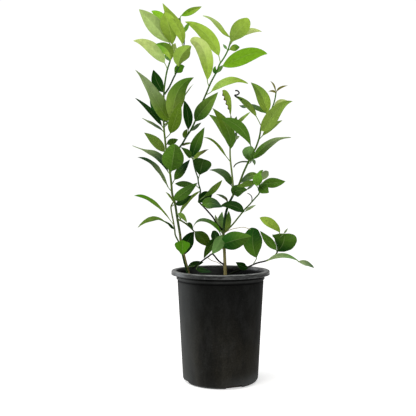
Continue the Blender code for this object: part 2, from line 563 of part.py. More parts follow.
def fine_route(stems):
    """Points (x, z, depth) about a millimetre apart along each of several stems."""
    spaced = []
    for stem in stems:
        line = []
        for start, end in zip(stem.route, stem.route[1:]):
            steps = max(int(math.dist(start, end)), 1)
            for step in range(steps):
                line.append([a + (b - a) * step / steps for a, b in zip(start, end)])
        line.append(list(stem.route[-1]))
        spaced.append(line)
    return spaced


def stalk_root(foot, stems):
    """Where a leaf's stalk leaves the nearest stem, a little below the foot of its blade."""
    best = None
    for line in fine_route(stems):
        for number, point in enumerate(line):
            distance = math.hypot(point[0] - foot[0], point[1] - foot[1])
            if best is None or distance < best[0]:
                best = (distance, number, line)
    distance, number, line = best
    slide = min(int(distance * STALK_SLIDE), STALK_SLIDE_MOST)
    return line[max(number - slide, STEM_START_KEPT)]


def through(points, share):
    """The point at a share of the way along an even curve through two, three or four points."""
    last = len(points) - 1
    total = [0.0] * len(points[0])
    for number, point in enumerate(points):
        weight = 1.0
        for other in range(last + 1):
            if other != number:
                weight *= (share * last - other) / (number - other)
        total = [value + weight * part for value, part in zip(total, point)]
    return total


def half_width(leaf, share):
    """Half the blade's width: drawn out to a point, or rounded off where the tip is blunt."""
    swell = max(math.sin(math.pi * (share * leaf.end) ** leaf.skew), 0.0)
    rounded_share = (1.0 - leaf.end) * TIP_ROUNDING
    into_tip = share - 1.0 + rounded_share
    rounding = 1.0
    if rounded_share > 0.0 and into_tip > 0.0:
        rounding = max(math.sqrt(max(1.0 - (into_tip / rounded_share) ** 2, 0.0)), BLUNT_TIP)
    return max(leaf.width / 2 * MM * swell ** OUTLINE_FULLNESS * rounding, TIP_HALF_WIDTH)


def stations(leaf):
    if leaf.width > BROAD_WIDTH:
        return BROAD_STATIONS
    return BLADE_STATIONS if leaf.width > SMALL_WIDTH else SMALL_STATIONS


def blade_place(leaf, root_depth, share):
    """A place on the midrib in metres."""
    first, last = leaf.midrib[0], leaf.midrib[-1]
    flat = math.dist(first, last)
    reach = leaf.reach * math.sqrt(max(leaf.length ** 2 - flat ** 2, 0.0))
    x, z = through(leaf.midrib, share)
    return seen(x, z, root_depth + leaf.reach * STALK_REACH + reach * share)


def section(place, tangent, facing, roll, fold, half, edge, rib):
    """Six points round a blade: over the left edge, the midrib and the right edge, and back under."""
    normal = (facing - tangent * facing.dot(tangent)).normalized()
    side = tangent.cross(normal)
    turned_normal = normal * math.cos(roll) + side * math.sin(roll)
    turned_side = side * math.cos(roll) - normal * math.sin(roll)
    out = turned_side * (half * math.cos(fold))
    up = turned_normal * (half * math.sin(fold))
    left, right = place - out + up, place + out + up
    edge_up, rib_up = turned_normal * edge, turned_normal * rib
    return [left + edge_up, place + rib_up, right + edge_up,
            right - edge_up, place - rib_up, left - edge_up]


def leaf_body(leaf, stems):
    """A leaf with its stalk, rooted in the middle of its stem."""
    root = stalk_root(leaf.midrib[0], stems)
    roll, tip_roll, fold = (math.radians(value) for value in (leaf.roll, leaf.tip_roll, leaf.fold))
    foot = blade_place(leaf, root[2], 0.0)
    root_place = seen(*root)
    stalk = (foot - root_place).normalized()
    radius = STALK_RADIUS if leaf.width > SMALL_WIDTH else STALK_RADIUS * SMALL_STALK
    facing = Vector((0.0, 0.0, 1.0)) if leaf.sky else EYE - foot
    rings = [section(root_place, stalk, facing, roll, 0.0, radius, radius / 2, radius)]
    for share in stations(leaf):
        place = blade_place(leaf, root[2], share)
        ahead = blade_place(leaf, root[2], min(share + TANGENT_STEP, 1.0))
        behind = blade_place(leaf, root[2], max(share - TANGENT_STEP, 0.0))
        tangent = (ahead - behind).normalized()
        if share == 0.0:
            tangent = (tangent + stalk).normalized()
            rings.append(section(place, tangent, facing, roll, 0.0, radius * STALK_SWELL,
                                 radius / 2, radius))
        else:
            turn = roll + (tip_roll - roll) * share
            rings.append(section(place, tangent, facing, turn, fold, half_width(leaf, share),
                                 BLADE_HALF, RIB_HALF))
    return loft(rings)


def grown(name, main_body, side_bodies, leaves, stems, colour, roughness):
    """One grown piece: its stem with side stems and leaves fused to it."""
    made = finish(piece_from(main_body, name), colour, roughness)
    parts = bpy.data.collections.new(name + "_parts")
    bpy.context.scene.collection.children.link(parts)
    for number, body in enumerate(side_bodies):
        piece_from(body, f"{name}_side_{number + 1}", parts)
    for number, leaf in enumerate(leaves):
        piece_from(leaf_body(leaf, stems), f"{name}_leaf_{number + 1}", parts)
    boolean = made.modifiers.new("fuse", "BOOLEAN")
    boolean.operation = "UNION"
    boolean.operand_type = "COLLECTION"
    boolean.collection = parts
    boolean.solver = "MANIFOLD"
    graph = bpy.context.evaluated_depsgraph_get()
    fused = bpy.data.meshes.new_from_object(made.evaluated_get(graph))
    made.modifiers.clear()
    made.data = fused
    for thing in list(parts.objects):
        bpy.data.objects.remove(thing, do_unlink=True)
    bpy.data.collections.remove(parts)


def stem_foot(stem):
    """The lower end of a stem that stands straight down in the soil."""
    first = stem_points(stem)[0]
    return Vector((first.x, first.y, STEM_FOOT))


def make_trunks():
    grown("trunk_left", stem_body(TRUNK_LEFT, stem_foot(TRUNK_LEFT), TRUNK_SIDES), [],
          TRUNK_LEFT_LEAVES, [TRUNK_LEFT], BARK, 0.7)
    grown("trunk_right", stem_body(TRUNK_RIGHT, stem_foot(TRUNK_RIGHT), TRUNK_SIDES),
          [stem_body(TRUNK_RIGHT_THREAD)],
          TRUNK_RIGHT_LEAVES, [TRUNK_RIGHT], BARK, 0.7)


def make_left_shoots():
    grown("shoot_left_top", stem_body(LEFT_TOP), [stem_body(LEFT_TOP_TWIG)],
          LEFT_TOP_LEAVES, [LEFT_TOP, LEFT_TOP_TWIG], YOUNG_LEAF, 0.45)
    grown("shoot_left_low", stem_body(THIN_STEM, stem_foot(THIN_STEM)), [],
          LEFT_LOW_LEAVES, [THIN_STEM], LEAF, 0.45)
    grown("shoot_left_side", side_stem_body(LEFT_SIDE, TRUNK_LEFT), [],
          LEFT_SIDE_LEAVES, [LEFT_SIDE], DARK_LEAF, 0.4)
    grown("shoot_inner_top", side_stem_body(INNER_TOP, LEFT_TOP), [],
          INNER_TOP_LEAVES, [INNER_TOP], LIME_LEAF, 0.45)


def make_right_shoots():
    grown("shoot_middle", side_stem_body(MIDDLE, TRUNK_RIGHT), [],
          MIDDLE_LEAVES, [MIDDLE], DARK_LEAF, 0.35)
    grown("shoot_centre", side_stem_body(CENTRE, RIGHT_TOP), [],
          CENTRE_LEAVES, [CENTRE], LEAF, 0.4)
    grown("shoot_right_top", stem_body(RIGHT_TOP),
          [stem_body(RIGHT_TOP_TWIG), stem_body(RIGHT_TOP_CURL)],
          RIGHT_TOP_LEAVES, [RIGHT_TOP, RIGHT_TOP_RIB], FRESH_LEAF, 0.4)
    grown("shoot_right_middle", side_stem_body(RIGHT_MIDDLE, TRUNK_RIGHT),
          [stem_body(RIGHT_MIDDLE_HOOK)],
          RIGHT_MIDDLE_LEAVES, [RIGHT_MIDDLE], LEAF, 0.4)
    grown("shoot_right_low", side_stem_body(RIGHT_LOW, TRUNK_RIGHT), [],
          RIGHT_LOW_LEAVES, [RIGHT_LOW, RIGHT_LOW_RIB], DARK_LEAF, 0.35)
    grown("twig_low", side_stem_body(LOW_TWIG, TRUNK_RIGHT), [stem_body(LOW_TWIG_THREAD)],
          LOW_TWIG_LEAVES, [LOW_TWIG], OLD_LEAF, 0.45)


def main():
    clear_scene()
    make_pot()
    standing = (TRUNK_LEFT, TRUNK_RIGHT, THIN_STEM)
    make_soil([(stem_foot(stem), stem.start_radius * MM) for stem in standing])
    make_trunks()
    make_left_shoots()
    make_right_shoots()


main()
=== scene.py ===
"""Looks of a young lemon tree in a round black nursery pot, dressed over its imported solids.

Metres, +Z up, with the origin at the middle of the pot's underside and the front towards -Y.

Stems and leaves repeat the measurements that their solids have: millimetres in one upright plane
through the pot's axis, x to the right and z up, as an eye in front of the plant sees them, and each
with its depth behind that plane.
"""

import math
from collections import namedtuple
from functools import partialmethod

import bmesh
import bpy
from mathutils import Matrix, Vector


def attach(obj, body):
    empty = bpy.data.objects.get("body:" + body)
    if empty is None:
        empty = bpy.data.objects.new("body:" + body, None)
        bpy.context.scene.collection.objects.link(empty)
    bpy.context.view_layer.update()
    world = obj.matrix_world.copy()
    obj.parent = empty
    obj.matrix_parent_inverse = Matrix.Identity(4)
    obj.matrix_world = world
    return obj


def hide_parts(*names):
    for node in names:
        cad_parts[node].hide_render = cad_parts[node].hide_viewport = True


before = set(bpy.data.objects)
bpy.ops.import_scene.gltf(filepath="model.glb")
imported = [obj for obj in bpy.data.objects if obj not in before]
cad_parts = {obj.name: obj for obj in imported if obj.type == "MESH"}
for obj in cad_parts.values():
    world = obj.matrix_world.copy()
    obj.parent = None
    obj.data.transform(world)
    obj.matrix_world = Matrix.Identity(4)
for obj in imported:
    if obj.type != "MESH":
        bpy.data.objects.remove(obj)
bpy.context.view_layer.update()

MM = 0.001

# Camera, where the plant was measured from
EYE = Vector((-27.5, -1430.0, 396.0)) * MM
EYE_DISTANCE = -EYE.y
PITCH_DOWN = math.radians(0.705)
LENS = 56.25
SENSOR = 36.0

# Pot
POT_HEIGHT = 242 * MM
RIM_RADIUS = 108 * MM
MOUTH_RADIUS = 97.2 * MM
WALL_TOP_RADIUS = 94.8 * MM
WALL_TOP = 222 * MM
FOOT_RADIUS = 83 * MM
FOOT_ROUND = 10 * MM
PLASTIC = 2 * MM
POT_FLOOR = 2.5 * MM
BAND_RADIUS = 96.8 * MM
BAND_HEIGHT = 5.5 * MM
BAND_SLOPE = 1.5 * MM
BAND_LEAN = 0.2 * MM
GROOVE_HEIGHT = 3 * MM
GROOVE_DEPTH = 1 * MM
NECK_OUT = 0.9 * MM
NECK_SLOPE = 1.2 * MM
SKIRT_BOTTOM = 233.2 * MM
SKIRT_LEAN = 0.4 * MM
BEAD_OUT = 0.5 * MM
BEAD_HEIGHT = 3 * MM
RIM_ROUND = 2 * MM
MOUTH_ROUND = 1.2 * MM
POT_SIDES = 144
CORNER_ROUND = 0.5 * MM
CORNER_SHARE = 0.45
MILD_CORNER = math.radians(25)
SHARP_EDGE = math.radians(50)
NOTCHES = 4
NOTCH_WIDTH = 44 * MM
NOTCH_TAPER = 0.7
NOTCH_HEIGHT = 7.5 * MM
NOTCH_REACH = 68 * MM
FIRST_NOTCH = math.radians(21)
WELD = 0.01 * MM
LEAF_WELD = 0.001 * MM

# Where the pot's marks lie: each is nothing at the first place and full at the second. These are heights.
RIM_MARKS = (SKIRT_BOTTOM - 1 * MM, SKIRT_BOTTOM + 1 * MM)
# The lip's top edge, where a pale line is painted highlight
LIP_HIGHLIGHT_MARKS = (POT_HEIGHT - 1.7 * MM, POT_HEIGHT - 0.5 * MM)
FOOT_MARKS = (34 * MM, 4 * MM)
# Partly painted shade: the wall is browner and lighter low down and stays black high up under the rim
BROWN_AND_SHADE_WALL = (200 * MM, 20 * MM)
LEDGE_BOTTOM = (WALL_TOP + 1.5 * MM, WALL_TOP + 2.5 * MM)
LEDGE_TOP = (WALL_TOP + 6.5 * MM, WALL_TOP + 5 * MM)
# These are places across the pot, counted to the right.
FRONT_LEFT = (20 * MM, -40 * MM)
RIGHT_FOOT = (-10 * MM, FOOT_RADIUS)
LIT_BACK_RIGHT = (30 * MM, -20 * MM)
LIT_BACK_LEFT = (-80 * MM, -50 * MM)
# How far outside the wall's outer face, where minus is inwards
INNER_WALL = (-0.5 * PLASTIC, -0.75 * PLASTIC)

# How much grey each mark of the pot brings, where 1 would hide the plastic. Most is dust; the far left's
# share is painted sheen and the inner back wall's painted light.
WALL_DUST = 0.05
LOW_WALL_DUST = 0.06
# Painted sheen: grey laid up the wall's far left to stand for a reflection
PAINTED_LEFT_SHEEN_AMOUNT = 0.50
STAIN_DUST = 0.07
SPECK_DUST = 0.16
FOOT_DUST = 0.1
RIGHT_FOOT_DUST = 0.8
RIM_DUST = 0.02
RIM_BAND_DUST = 0.8
LEDGE_DUST = 0.05
LEDGE_CLOUD_DUST = 0.45
# Painted light: grey in blotches on the lit left part of the inner back wall
INNER_BACK_PAINTED_LIGHT = 0.35
INNER_CLOUD_PAINTED_LIGHT = 0.8
# How the dust is shared out: more round the rim, less at its front left and on the inner wall
RIM_MORE = 1.15
RIM_LEFT_LESS = 0.6
INNER_LESS = 0.75

# Soil
SOIL_TOP = 212 * MM
SOIL_MOUND = 2.5 * MM
SOIL_WAVES = (23 * MM, 19 * MM, 11 * MM)
SOIL_EDGE = 0.8 * MM
SOIL_RINGS = 24
SOIL_SIDES = 72

# Stems and leaf stalks
STEM_FOOT = 150 * MM
STALK_RADIUS = 1.0 * MM
SMALL_STALK = 0.7
SMALL_WIDTH = 9.5
STALK_SLIDE = 1.7
STALK_SLIDE_MOST = 12
STEM_START_KEPT = 8
STALK_REACH = 5.0
STALK_TURN = 0.7
ROOT_TAPER = 12.0
STREAKS_ROUND = 9.0
STREAKS_ALONG = 70.0

# Leaf blades. A place along the blade is 0 at its foot and 1 at its tip, and a place across it is 0 on
# the midrib and 1 at the margin. A pair is where something starts and where it is full.
TIP_HALF_WIDTH = 0.3 * MM
OUTLINE_SKEW = 0.85
OUTLINE_FULLNESS = 0.9
TIP_ROUNDING = 0.9
SHARP_TIP = 0.015
TANGENT_STEP = 0.01
ON_STALK = -0.0001
STALK_END = (0.0, 0.12)
STALK_SWELL = 1.15
BLADE_START = (0.0, 0.07)
RIB_WIDTH = 0.085
GROOVE_WIDTH = 0.07
RIB_LINE_WIDTH = 0.035
ROUND_SKIN = 0.985
VEINS = 8.0
VEIN_SLANT = 1.6
VEIN_LOWEST = 0.75
VEIN_RELIEF_IN = (0.05, 0.3)
VEIN_RELIEF_OUT = (0.6, 1.0)
VEIN_RELIEF_TIP = (0.75, 1.0)
MARGIN_WAVES = 8.0
MARGIN_WAVES_MORE = 5.0
MARGIN_WAVE_PHASE = 9.0
MARGIN_WAVE_PACE = 1.6
OTHER_MARGIN_LATER = 2.1
MARGIN_WAVE_START = (0.05, 0.3)
BITES_START = (0.12, 0.2)
BITES_PHASE = 0.6
GOLDEN_SHARE = 0.618034

# How much each pattern lightens a leaf, against its own tone as 1
PLAIN_LIGHT = 0.80
BLOTCH_LIGHT = 0.34
MOTTLE_LIGHT = 0.70
GRAIN_LIGHT = 0.06
VEIN_LIGHT = 0.15
LEAF_LIGHT_SPREAD = 0.10
# Painted light and shade: the most by which a leaf's halves differ at random, as if its fold lit one half
PAINTED_HALF_SHADE_SPREAD = 0.22

# How far each line turns a leaf's tone to the pale one, and the stalk to its own
PALE_SHARE = 0.55
RIB_PALENESS = 0.34
VEIN_PALENESS = 0.06
MARGIN_PALENESS = 0.35
STALK_PALENESS = 0.55

# Studio: the floor, how bright the sky is, what each side adds to that, and how bright the eye sees it
FLOOR_RADIUS = 30.0
FLOOR_DROP = 0.3 * MM
PLAIN_SKY = 0.15
RIGHT_SKY = -0.10
UPPER_SKY = 0.36
LEFT_SKY = 0.26
LEFT_BACK_SKY = 0.60
SKY_TO_EYE = 1.05

# Colours of leaves and stems as red, green and blue from 0 to 255, with each surface's roughness.
TONES = {
    "ink": (20, 54, 10, 0.34),
    "deep": (30, 60, 18, 0.36),
    "slate": (36, 62, 36, 0.36),
    "emerald": (36, 82, 24, 0.34),
    "forest": (50, 80, 25, 0.40),
    "brown": (66, 66, 36, 0.50),
    "mid": (68, 102, 30, 0.42),
    "moss": (83, 110, 28, 0.42),
    "grass": (72, 122, 20, 0.42),
    "dusk": (84, 106, 72, 0.50),
    "fresh": (94, 124, 46, 0.45),
    "jade": (98, 134, 72, 0.48),
    "kelly": (100, 148, 44, 0.45),
    "olive": (112, 137, 54, 0.48),
    "sage": (124, 142, 96, 0.55),
    "apple": (130, 157, 56, 0.50),
    "acid": (116, 165, 34, 0.42),
    "lime": (141, 170, 62, 0.52),
    "spring": (150, 180, 84, 0.55),
    "celadon": (158, 181, 106, 0.58),
    "pale": (176, 193, 112, 0.58),
    "ochre": (112, 110, 42, 0.60),
    "tan": (148, 136, 88, 0.75),
    "straw_bark": (172, 160, 108, 0.78),
    "bark": (110, 108, 62, 0.75),
    "green_bark": (58, 76, 38, 0.65),
    "umber": (20, 26, 13, 0.70),
    "deep_stem": (16, 42, 12, 0.66),
    "dark_stem": (42, 68, 28, 0.60),
    "dusk_stem": (64, 76, 52, 0.60),
    "olive_stem": (84, 98, 40, 0.60),
    "green_stem": (60, 88, 26, 0.58),
    "sea_stem": (66, 108, 26, 0.58),
    "pale_stem": (104, 120, 62, 0.60),
    "lime_stem": (88, 108, 38, 0.60),
}

# Other colours, as red, green, blue and opacity from 0 to 1, in the renderer's linear values.
VEIN_GREEN = (0.42, 0.52, 0.20, 1.0)
STALK_GREEN = (0.17, 0.25, 0.09, 1.0)
SCAR_BROWN = (0.055, 0.030, 0.008, 1.0)
BLACK = (0.0026, 0.0028, 0.0026, 1.0)
SOFT_BLACK = (0.0062, 0.0062, 0.0056, 1.0)
# Browner and lighter black for the low wall, partly painted shade
BROWN_AND_LIT_BLACK = (0.0135, 0.0122, 0.0088, 1.0)
# Painted shade in the pot's groove
PAINTED_GROOVE_SHADE = (0.0010, 0.0010, 0.0010, 1.0)
# Grey of dust, also used for the pot's painted sheen and painted light
DUST_AND_PAINTED_LIGHT_GREY = (0.052, 0.054, 0.053, 1.0)
RUBBED_GREY = (0.130, 0.134, 0.138, 1.0)
# Painted highlight along the lip's top edge
PAINTED_LIP_HIGHLIGHT = (0.24, 0.245, 0.24, 1.0)
WET_PEAT = (0.011, 0.0075, 0.005, 1.0)
DRY_PEAT = (0.055, 0.038, 0.024, 1.0)
FIBRE = (0.13, 0.092, 0.055, 1.0)
DARK_CRUMB = (0.014, 0.0095, 0.006, 1.0)
LIGHT_CRUMB = (0.10, 0.066, 0.038, 1.0)
PERLITE = (0.66, 0.65, 0.60, 1.0)
FLOOR_WARM = (0.93, 0.925, 0.915, 1.0)
FLOOR_WHITE = (0.95, 0.945, 0.935, 1.0)
WHITE = (1.0, 1.0, 1.0, 1.0)

# A leaf: the tones of its foot and tip (or one tone for both), its midrib as points (x, z) from the foot
# of the blade to the tip, its true length, which way it reaches (1 away from the eye, -1 towards it), its
# width, how far it is rolled about its midrib at the foot and at the tip (0 shows the upper face to the
# eye, 180 the lower one) and how far its halves fold up, in degrees. Then the share of the full outline
# at which the blade ends (less than 1 where the tip is blunt or curled), how near the tip it is widest (a
# small number is near the foot, 1 halfway, more nearer the tip), how much lighter the left half of its
# upper face is than the right one (below 0: darker), which is painted light and shade as if the fold
# turned one half to the light, and how deep its left margin is chewed, as a share of the half's width.
Leaf = namedtuple("Leaf", "tones midrib length reach width roll tip_roll fold end skew half chewed",
                  defaults=(1.0, OUTLINE_SKEW, 0.0, 0.0))

# A stem: its tones from start to end, its route as points (x, z, depth), and its radius at both ends.
Stem = namedtuple("Stem", "tones route start_radius end_radius")

TRUNK_LEFT = Stem("tan tan bark green_bark green_bark", [
    (-67, 214, 6), (-71, 238, 6), (-76, 256, 6), (-82, 280, 7), (-87, 303, 8), (-89, 320, 9),
    (-92, 338, 9), (-95, 355, 9), (-98, 376, 9)
], 3.3, 2.6)
TRUNK_LEFT_LEAVES = [
    Leaf("ink", [(-82, 274), (-73, 303), (-58, 326)], 85, 1, 29, 5, 10, 12),
]

THIN_STEM = Stem("dark_stem dark_stem olive_stem olive_stem", [
    (-70, 214, -8), (-73, 236, -8), (-79, 256, -9), (-84, 276, -10), (-90, 299, -11), (-99, 318, -13),
    (-101, 332, -14), (-104, 350, -15), (-107, 365, -15), (-109, 380, -15), (-106, 388, -16),
    (-102, 394, -18)
], 2.0, 1.6)
LEFT_LOW_LEAVES = [
    Leaf("grass", [(-84, 304), (-84, 290), (-84, 275)], 50, -1, 34, 0, 0, 10, skew=0.6),
    Leaf("ink fresh", [(-102, 332), (-122, 347), (-150, 354), (-183, 334)], 95, -1, 16, 25, 200, 8),
    Leaf("olive grass", [(-104, 343), (-128, 372), (-158, 397), (-191, 405)], 108, -1, 16, 80, 45, 10,
         skew=1.3),
    Leaf("mid forest", [(-102, 396), (-80, 412), (-50, 434)], 80, -1, 24, 15, 0, 16, half=0.2),
    Leaf("olive", [(-104, 392), (-111, 403), (-121, 414)], 34, -1, 10, 72, 60, 8),
    Leaf("deep", [(-99, 387), (-84, 393), (-62, 407)], 50, 1, 16, 10, 0, 10),
]

LEFT_SIDE = Stem("olive_stem dark_stem", [
    (-94, 354, 5), (-84, 349, 2), (-74, 342, 0), (-65, 334, -2), (-58, 327, -4)
], 1.9, 1.5)
LEFT_SIDE_LEAVES = [
    Leaf("olive", [(-89, 366), (-82, 383), (-66, 401), (-44, 416)], 75, 1, 18, 70, 50, 8),
    Leaf("fresh", [(-93, 366), (-83, 360), (-74, 346)], 36, -1, 11, 10, 10, 10),
    Leaf("forest", [(-73, 345), (-67, 342), (-60, 332)], 30, 1, 9, 20, 20, 10),
    Leaf("mid moss", [(-56, 326), (-40, 313), (-18, 291)], 80, 1, 28, 10, 0, 14),
]

LEFT_TOP = Stem("green_bark lime_stem lime_stem green_stem sea_stem", [
    (-98.1, 376.5, 9), (-101, 392, 8), (-106, 408, 7), (-108, 430, 6), (-110, 448, 5), (-113, 468, 4),
    (-117, 490, 3), (-120, 510, 2), (-122, 530, 0), (-124, 550, -2), (-125, 575, -4), (-125, 605, -6),
    (-124, 635, -7), (-121, 660, -6), (-117, 681, -4), (-111, 700, -2), (-108, 714, 0)
], 2.6, 1.7)
LEFT_TOP_TWIG = Stem("dark_stem dark_stem green_stem", [
    (-123, 628, -7), (-113, 643, -10), (-103, 664, -14), (-98, 674, -16), (-91, 692, -18),
    (-85, 714, -20), (-80, 738, -18), (-81, 762, -12), (-91, 795, -8)
], 2.0, 1.3)
LEFT_TOP_LEAVES = [
    Leaf("mid slate", [(-101, 441), (-88, 459), (-67, 485)], 85, 1, 21, 5, 0, 14, half=0.35),
    Leaf("mid", [(-108, 460), (-104, 491), (-99, 519)], 88, -1, 49, 0, 0, 14, 0.9, half=0.35),
    Leaf("sage slate", [(-115, 424), (-130, 450), (-151, 476), (-184, 490)], 102, -1, 22, 74, 52, 10),
    Leaf("slate sage", [(-116, 459), (-135, 489), (-160, 502), (-195, 516)], 104, 1, 22, 10, 85, 12),
    Leaf("olive fresh", [(-123, 502), (-143, 524), (-168, 544)], 78, -1, 22, 10, 10, 14),
    Leaf("mid", [(-118, 519), (-107, 524), (-93, 529)], 48, 1, 15, 0, 0, 10),
    Leaf("moss", [(-110, 543), (-99, 574), (-88, 612)], 86, -1, 28, 5, 0, 12),
    Leaf("moss sage", [(-112, 572), (-134, 601), (-156, 641), (-188, 682)], 134, -1, 38, 24, 30, 22,
         skew=0.6, half=0.2),
    Leaf("olive mid", [(-110, 574), (-102, 608), (-90, 641), (-58, 665)], 108, -1, 40, 0, 20, 12, half=0.5),
    Leaf("ink", [(-129, 559), (-143, 578), (-163, 600), (-188, 620)], 92, 1, 14, 25, 30, 12),
    Leaf("emerald", [(-116, 567), (-139, 590), (-155, 620)], 82, 1, 20, 10, 10, 12),
    Leaf("dusk sage", [(-127, 548), (-148, 562), (-173, 576)], 68, 1, 12, 58, 58, 10),
    Leaf("ink", [(-125, 633), (-139, 655), (-147, 682)], 72, 1, 25, 0, 0, 12),
    Leaf("celadon pale", [(-123, 697), (-138, 717), (-161, 737), (-192, 745)], 92, -1, 27, 170, 185, 10),
    Leaf("lime kelly", [(-109, 704), (-118, 727), (-142, 738)], 66, -1, 24, 175, 190, 10, half=-0.5),
    Leaf("jade", [(-112, 702), (-113, 712), (-108, 722)], 48, 1, 20, 0, 0, 10),
    Leaf("celadon pale", [(-104, 716), (-103, 729), (-99, 740)], 52, 1, 17, 180, 180, 10),
    Leaf("celadon", [(-113, 742), (-135, 768), (-157, 793), (-179, 814)], 104, -1, 35, 178, 185, 12),
    Leaf("lime acid", [(-113, 745), (-128, 790), (-152, 810)], 84, 1, 25, 0, 0, 10),
    Leaf("apple lime", [(-106, 738), (-114, 780), (-123, 808)], 92, -1, 38, 175, 180, 12, half=0.3),
    Leaf("lime", [(-84, 738), (-90, 768), (-108, 797), (-127, 828)], 104, -1, 25, 182, 195, 14),
    Leaf("acid lime", [(-86, 800), (-64, 810), (-41, 820)], 62, 1, 15, 10, 0, 10, half=-0.35),
    Leaf("kelly", [(-80, 763), (-75, 774), (-68, 785)], 32, 1, 9, 0, 0, 8),
    Leaf("olive", [(-92, 690), (-85, 714), (-64, 734)], 76, -1, 35, 192, 180, 18, half=-0.45),
    Leaf("grass", [(-100, 675), (-91, 684), (-79, 690)], 34, 1, 20, 0, 10, 14),
    Leaf("sage", [(-88, 610), (-74, 633), (-59, 651)], 62, 1, 12, 76, 80, 6),
]

INNER_TOP = Stem("dark_stem dark_stem green_stem sea_stem sea_stem", [
    (-110, 474, 7), (-102, 493, 15), (-91, 510, 20), (-83, 521, 22), (-75, 535, 24), (-67, 547, 24),
    (-60, 560, 23), (-53, 576, 22), (-45, 597, 20), (-37, 617, 17), (-30, 633, 14), (-23, 650, 11),
    (-17, 662, 8), (-12, 671, 6), (-7, 681, 4), (-2, 694, 2), (5, 704, 0), (11, 714, -2), (17, 727, -4),
    (22, 745, -6)
], 2.2, 1.6)
INNER_TOP_LEAVES = [
    Leaf("ink", [(-71, 551), (-72, 583), (-80, 615)], 88, 1, 22, 5, 5, 12),
    Leaf("moss", [(-77, 531), (-78, 541), (-73, 552)], 40, 1, 12, 0, 0, 10),
    Leaf("dusk", [(-64, 548), (-54, 557), (-42, 566)], 45, 1, 9, 20, 20, 10),
    Leaf("forest fresh", [(-55, 569), (-43, 588), (-27, 608), (-5, 633)], 90, -1, 32, 5, 0, 14, half=-0.35),
    Leaf("brown moss", [(-86, 516), (-75, 520), (-60, 521)], 40, 1, 9, 50, 60, 6),
    Leaf("spring apple", [(-20, 634), (3, 653), (31, 660), (61, 651)], 92, -1, 21, 150, 135, 10),
    Leaf("lime pale", [(-29, 660), (-30, 698), (-42, 732), (-67, 746)], 108, -1, 32, 172, 165, 10, 0.88,
         half=0.2),
    Leaf("lime", [(-4, 713), (-19, 744), (-45, 771), (-79, 787)], 110, 1, 30, 175, 190, 12, half=0.25),
    Leaf("lime celadon", [(21, 753), (2, 768), (-14, 787), (-40, 800)], 84, 1, 18, 55, 50, 10),
    Leaf("olive apple", [(23, 743), (41, 770), (65, 788)], 86, -1, 36, 180, 170, 12, 0.88),
    Leaf("pale", [(30, 748), (60, 766), (91, 765)], 74, 1, 14, 175, 175, 10),
    Leaf("acid", [(5, 690), (35, 704), (70, 717), (103, 716)], 106, 1, 35, 5, 0, 12),
    Leaf("jade", [(-8, 675), (-1, 684), (6, 692)], 24, 1, 9, 0, 0, 8),
    Leaf("apple kelly", [(20, 726), (31, 730), (42, 731)], 38, 1, 15, 0, 0, 10),
    Leaf("jade", [(14, 727), (10, 732), (5, 738)], 16, 1, 6, 0, 0, 6),
    Leaf("emerald grass", [(-10, 673), (-13, 681), (-11, 690)], 24, -1, 9, 0, 0, 8),
]

TRUNK_RIGHT = Stem("tan tan straw_bark bark bark dark_stem deep_stem deep_stem deep_stem", [
    (11, 214, -4), (10.5, 238, -4), (9.5, 262, -4), (8.5, 285, -4), (7, 306, -4), (6.5, 325, -4),
    (8, 345, -4), (12, 368, -4), (18, 387, -4), (26, 403, -5)
], 4.0, 2.5)
TRUNK_RIGHT_THREAD = Stem("straw_bark straw_bark", [
    (7, 322, -4), (20, 330, -3), (35, 334, -2), (51, 336, -1), (66, 331, 0)
], 0.8, 0.6)
TRUNK_RIGHT_LEAVES = [
    Leaf("jade", [(4, 319), (-4, 299), (-19, 277)], 62, -1, 25, 165, 175, 10),
    Leaf("grass dusk", [(-1, 323), (-14, 341), (-39, 351), (-60, 336)], 82, -1, 15, 50, 55, 12),
    Leaf("ink", [(-6, 301), (-11, 315), (-15, 329)], 56, 1, 20, 0, 0, 10, 0.92),
    Leaf("ink mid", [(-4, 312), (-22, 295), (-37, 267)], 66, 1, 19, 0, 0, 12),
    Leaf("emerald mid", [(0, 296), (33, 308), (69, 315)], 84, -1, 40, 0, 0, 12, half=0.6),
    Leaf("fresh jade", [(3, 326), (0, 345), (4, 371)], 74, 1, 18, 10, 0, 12),
    Leaf("olive mid", [(10, 326), (16, 347), (18, 372)], 76, 1, 16, 0, 0, 12),
    Leaf("dusk sage", [(-1, 330), (-7, 347), (-12, 364)], 50, 1, 9, 0, 0, 10),
    Leaf("brown dusk", [(15, 391), (7, 402), (-10, 409)], 52, 1, 9, 50, 40, 8),
]

MIDDLE = Stem("umber umber dark_stem dark_stem", [
    (3, 328, -8), (-8, 343, -12), (-16, 357, -16), (-26, 369, -20), (-37, 381, -24), (-46, 391, -26),
    (-47, 404, -27), (-44, 416, -28), (-48, 431, -28), (-50, 445, -28), (-54, 457, -27), (-58, 471, -26),
    (-61, 489, -25)
], 1.9, 1.4)
MIDDLE_LEAVES = [
    Leaf("mid slate", [(-40, 386), (-20, 389), (4, 380)], 72, -1, 25, 0, 0, 12, half=-0.25),
    Leaf("ink", [(-49, 392), (-34, 403), (-17, 410)], 70, 1, 25, 10, 0, 12),
    Leaf("mid olive", [(-34, 405), (-14, 421), (4, 440)], 70, 1, 15, 20, 20, 14),
    Leaf("deep forest", [(-46, 452), (-42, 469), (-37, 486)], 56, 1, 42, 0, 0, 12, 0.68),
    Leaf("ink mid", [(-61, 490), (-53, 519), (-35, 556)], 84, 1, 25, 0, 0, 12),
    Leaf("olive brown", [(-59, 488), (-47, 498), (-25, 508)], 55, -1, 15, 130, 120, 10),
    Leaf("forest", [(-59, 430), (-82, 431), (-100, 432)], 50, 1, 14, 10, 0, 12),
    Leaf("forest", [(-64, 490), (-72, 499), (-87, 512)], 50, -1, 15, 20, 30, 12),
]

